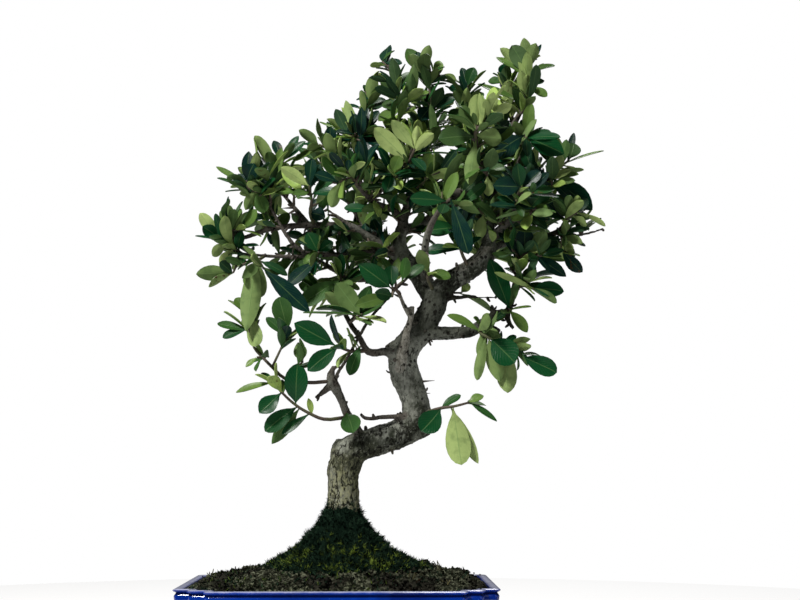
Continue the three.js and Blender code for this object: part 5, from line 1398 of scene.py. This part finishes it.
def leaves_mesh(leaves):
    """Mesh of leaves, each given with its age from old to fresh, its tone and its blemish."""
    mesh = bmesh.new()
    for leaf, _, _, _ in leaves:
        mesh.from_mesh(patterns[leaf.turned])
    tint = mesh.verts.layers.float_color["leaf"]
    grown = iter(mesh.verts)
    for leaf, age, tone, blemish in leaves:
        shape = leaf_shape(Draw(int(tone * 65521) + 7))
        for spot in patterns[0].vertices:
            vert = next(grown)
            place = leaf_point(leaf, spot.co.x, spot.co.y, spot.co.z, shape)
            vert.co = Vector(map(min, place, solid_high)) * MM
            vert[tint] = (age, tone, blemish, 1)
    return mesh


def dressed(leaf):
    """A leaf with its age, tone and blemish drawn: pale where its back hangs to the front, and
    deep green where it faces the front."""
    age = draw(0.7, 1) if draw() < FRESH_SHARE else draw() ** 3 * 0.5
    tone = draw()
    if leaf.normal.y > 0.3 and leaf.along.z < -0.5:
        age, tone = max(age, 0.25), 0.6 + 0.4 * tone
    elif leaf.normal.y < -0.6:
        age, tone = age * 0.6, tone * 0.5 + (0.3 if leaf.root.z < 250 else 0)
    blemish = draw(0.5, 1) if draw() < BLEMISHED_SHARE else 0.0
    across, up = as_seen(leaf.at(0.5, 0))
    away, age_seen, tone_seen = min((math.hypot(across - x, up - z), its_age, its_tone)
                                    for x, z, its_age, its_tone in STANDING_OUT)
    if away < STANDING_OUT_REACH and leaf.root.y < 15:
        age, tone, blemish = age_seen, tone_seen, 0.0
    return leaf, age, tone + draw(0, 0.01), blemish


def firethorn_leaf(name, upper):
    """Waxy upper skin, bottle green when old, or the paler matt underside. Veins follow the leaf."""
    if upper:
        skin = Finish(name, roughness=0.33, specular_ior_level=0.14)
        blue_green, bottle_green, olive = (0.001, 0.018, 0.015), (0.002, 0.046, 0.012), (0.035, 0.1, 0.018)
        young, youngest = (0.12, 0.22, 0.03), (0.33, 0.46, 0.11)
    else:
        skin = Finish(name, roughness=0.55, specular_ior_level=0.06)
        blue_green, bottle_green, olive = (0.03, 0.075, 0.035), (0.06, 0.12, 0.035), (0.15, 0.22, 0.075)
        young, youngest = (0.23, 0.33, 0.1), (0.4, 0.5, 0.18)
    age, tone, blemish = skin.painted("leaf")
    leaf_map = skin.node("ShaderNodeUVMap", {"uv_map": "leaf_map"}).outputs[0]
    across, along, _ = skin.node("ShaderNodeSeparateXYZ", Vector=leaf_map).outputs
    off_rib = skin.math("ABSOLUTE", skin.math("SUBTRACT", across, 0.5))
    base = skin.mix(skin.ramp(tone, 0.1, 0.5), blue_green, bottle_green)
    base = skin.mix(skin.ramp(tone, 0.5, 1), base, olive)
    base = skin.mix(age, base, skin.mix(tone, young, youngest))
    base = skin.mix(skin.ramp(skin.noise(160, 3), 0.45, 0.7, 0, 0.3), base, (0.012, 0.05, 0.015))
    slant = skin.math("SUBTRACT", along, skin.math("MULTIPLY", off_rib, 0.8))
    stripes = skin.math("FRACT", skin.math("MULTIPLY", slant, 9))
    stripes = skin.math("ABSOLUTE", skin.math("SUBTRACT", stripes, 0.5))
    lines = skin.math("MAXIMUM", skin.ramp(off_rib, 0.035, 0.012), skin.ramp(stripes, 0.08, 0.0, 0, 0.35))
    base = skin.mix(skin.math("MULTIPLY", lines, 0.3 if upper else 0.4), base, (0.14, 0.24, 0.08))
    spots = skin.math("MULTIPLY", skin.ramp(skin.noise(420, 2), 0.6, 0.66), blemish)
    base = skin.mix(spots, base, (0.06, 0.032, 0.012))
    skin.bump(skin.math("MULTIPLY", lines, -1 if upper else 1), 0.35, 0.0004)
    return skin.colour(base)


def twig_bark():
    """Thin smooth bark: red-brown with pale pores, green where it is this year's."""
    skin = Finish("twig_bark", roughness=0.7, specular_ior_level=0.25)
    base = skin.mix(skin.noise(220, 3), (0.036, 0.026, 0.02), (0.11, 0.088, 0.066))
    base = skin.mix(skin.ramp(skin.noise(60, 2), 0.5, 0.65, 0, 0.7), base, (0.07, 0.085, 0.03))
    base = skin.mix(skin.ramp(skin.noise(900, 1), 0.66, 0.72, 0, 0.6), base, (0.2, 0.17, 0.13))
    skin.bump(skin.noise(700, 3), 0.5, 0.0006)
    return skin.colour(base)


leaf_finishes = [firethorn_leaf("leaf_upper_skin", True), firethorn_leaf("leaf_underside", False),
                 twig_bark()]


def leafy_piece(name, stems, leaves):
    """One object of twigs and their leaves."""
    wood = stems_mesh(stems, 2, 3)
    for face in wood.faces:
        face.smooth = True
        face.material_index = 2
    whole = leaves_mesh([dressed(leaf) for leaf in leaves])
    gather(whole, wood)
    piece = object_of(name, whole, *leaf_finishes)
    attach(piece, "root")
    return piece


# The leaves of the solids, each on its own solid. Those that no solid has are bent clear afterwards
sprays = {}
left_over = []
for number, (name, spray) in enumerate(LEAFY_BRANCHES.items()):
    surface_mesh = mesh_of(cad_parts["spray_" + name])
    bmesh.ops.remove_doubles(surface_mesh, verts=surface_mesh.verts, dist=1e-7)
    surface = BVHTree.FromBMesh(surface_mesh)
    surface_mesh.free()
    stem = spray["stem"]
    stems = [[[*point, STEM_ROOT - STEM_TAPER * i / (len(stem) - 1)] for i, point in enumerate(stem)]]
    leaves = []
    for h, one in enumerate(spray["heads"]):
        twig = twig_end(stem, one)
        shown = len(one["leaves"])
        if one["place"]:
            stems.append([[*stem[one["stem_point"]], HEAD_STEM[0]], [*one["place"], HEAD_STEM[1]]])
        seeds = (number + 1) * 1000 + h * 50
        makers = [partial(placed_leaf, twig, order, leaf) for order, leaf in enumerate(one["leaves"])]
        makers += [partial(round_leaf, twig, shown + i, seeds + i) for i in range(one["more"])]
        for order, make in enumerate(makers):
            leaf = best_leaf(make, surface)
            if leaf:
                leaves.append(leaf)
                settle(leaf)
            elif order < shown:
                left_over.append((leaves, make))
    sprays[name] = (stems, leaves)
for leaves, make in left_over:
    tries = [make(attempt) for attempt in (0, 2, 4, 1, 6, 3)]
    leaf = next((one for one in tries if not crosses_others(one)), tries[0])
    leaves.append(leaf)
    settle(leaf)

long_leaf = sprays["left_hanging"][1][0]
long_leaf.length *= LONG_LEAF_REACH
long_leaf.width *= LONG_LEAF_WIDTH
edge_stems, edge_leaves = sprays["left_edge"]
edge_stems.append(EDGE_TWIG)
for base, tip, width, turned in EDGE_LEAVES:
    leaf = Leaf(seen(*base), seen(*tip), width, facing(turned))
    edge_leaves.append(leaf)
    settle(leaf)

draw = Draw(5)
for number, (name, spray) in enumerate(LEAFY_BRANCHES.items()):
    stems, leaves = sprays[name]
    for h, one in enumerate(spray["heads"]):
        twig = twig_end(spray["stem"], one)
        begun = len(one["leaves"]) + one["more"]
        leaves += more_leaves(twig, begun, 90000 + number * 700 + h * 50, 5, 6, 0.7, 1.25)
    piece = leafy_piece("leafy_branch_" + name, stems, leaves)
    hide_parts("spray_" + name)

# Short side shoots that fill up the crown, all along its limbs and branches
shoots = []
shoot_leaves = []
spray_stems = [[[*point, STEM_TIP] for point in spray["stem"]] for spray in LEAFY_BRANCHES.values()]
for number, limb in enumerate([*LIMBS, *spray_stems]):
    for span, (a, b) in enumerate(zip(limb, limb[1:])):
        if min(a[1], b[1]) < SHOOTS_ABOVE:
            continue
        start, end = seen(*a[:3]), seen(*b[:3])
        way = (end - start).normalized()
        for place in range(max(round((end - start).length / SHOOT_SPACING), 1)):
            foot = start.lerp(end, draw())
            side = way.cross(draw.way()).normalized()
            out = (side + way * 0.5 + UPWARD * 0.3).normalized()
            tip = foot + out * (a[3] + draw(4, 11))
            seeds = 200000 + number * 900 + span * 90 + place * 10
            added = more_leaves({"end": tip, "axis": out}, 0, seeds, 6, 5, 0.75, 1.3)
            if len(added) > 1:
                shoot_leaves += added
                shoots.append((foot, tip))
for side, low, high in (("left", -200, 0), ("middle", 0, 70), ("right", 70, 300)):
    stems = [[flat_point(foot, SHOOT_STEM[0]), flat_point(tip, SHOOT_STEM[1])]
             for foot, tip in shoots if low <= foot.x < high]
    leafy_piece("crown_shoots_" + side, stems, [leaf for leaf in shoot_leaves if low <= leaf.root.x < high])


# Studio: a pale seamless floor, an even white surround, and large soft lights above and in front.
# The camera stands where the photograph was taken from, a little above the pot and tilted up.
FLOOR_RADIUS = 0.9
FLOOR_DROP = 0.0002
SURROUND_LIGHT = 0.07
LENS_LENGTH = 58.5
CAMERA_TILT = 7.52
CAMERA_TURN = -0.88

floor_mesh = bmesh.new()
bmesh.ops.create_circle(floor_mesh, segments=96, radius=FLOOR_RADIUS, cap_ends=True)
paper = Finish("white_paper", roughness=0.9, specular_ior_level=0.0, emission_color=(1, 1, 1, 1),
               emission_strength=0.52)
studio_floor = object_of("studio_floor", floor_mesh, paper.colour((0.5, 0.5, 0.5)))
studio_floor.location.z = -FLOOR_DROP

world = bpy.data.worlds.new("white_surround")
world.use_nodes = True
surround = world.node_tree.nodes["Background"]
surround.inputs["Color"].default_value = (1, 1, 1, 1)
seen_or_lit = world.node_tree.nodes.new("ShaderNodeMapRange")
seen_or_lit.inputs["To Min"].default_value = SURROUND_LIGHT
seen_or_lit.inputs["To Max"].default_value = 1.0
path = world.node_tree.nodes.new("ShaderNodeLightPath")
world.node_tree.links.new(path.outputs["Is Camera Ray"], seen_or_lit.inputs["Value"])
world.node_tree.links.new(seen_or_lit.outputs["Result"], surround.inputs["Strength"])
bpy.context.scene.world = world


def soft_light(name, place, aim_height, width, power, tint):
    """Round soft lamp that points at the trunk's line at a height."""
    lamp = bpy.data.lights.new(name, "AREA")
    lamp.shape = "DISK"
    lamp.size = width
    lamp.energy = power
    lamp.color = tint
    light = bpy.data.objects.new(name, lamp)
    light.location = place
    light.rotation_euler = (Vector((0.03, 0, aim_height)) - Vector(place)).to_track_quat("-Z", "Y").to_euler()
    bpy.context.scene.collection.objects.link(light)


soft_light("key_above_left", (-0.7, -0.8, 1.4), 0.25, 0.3, 37, (1, 0.98, 0.95))
soft_light("fill_front_right", (0.9, -1.1, 0.7), 0.25, 0.8, 1.3, (0.96, 0.98, 1))
soft_light("back_above", (0.4, 1.0, 1.3), 0.3, 0.7, 9, (1, 1, 1))

lens = bpy.data.cameras.new("camera")
lens.sensor_width = 36
lens.lens = LENS_LENGTH
camera = bpy.data.objects.new("camera", lens)
camera.location = [value / 1000 for value in FRONT_EYE]
camera.rotation_euler = (math.radians(90 + CAMERA_TILT), 0, math.radians(CAMERA_TURN))
bpy.context.scene.collection.objects.link(camera)
bpy.context.scene.camera = camera
bpy.context.scene.view_settings.view_transform = "Standard"
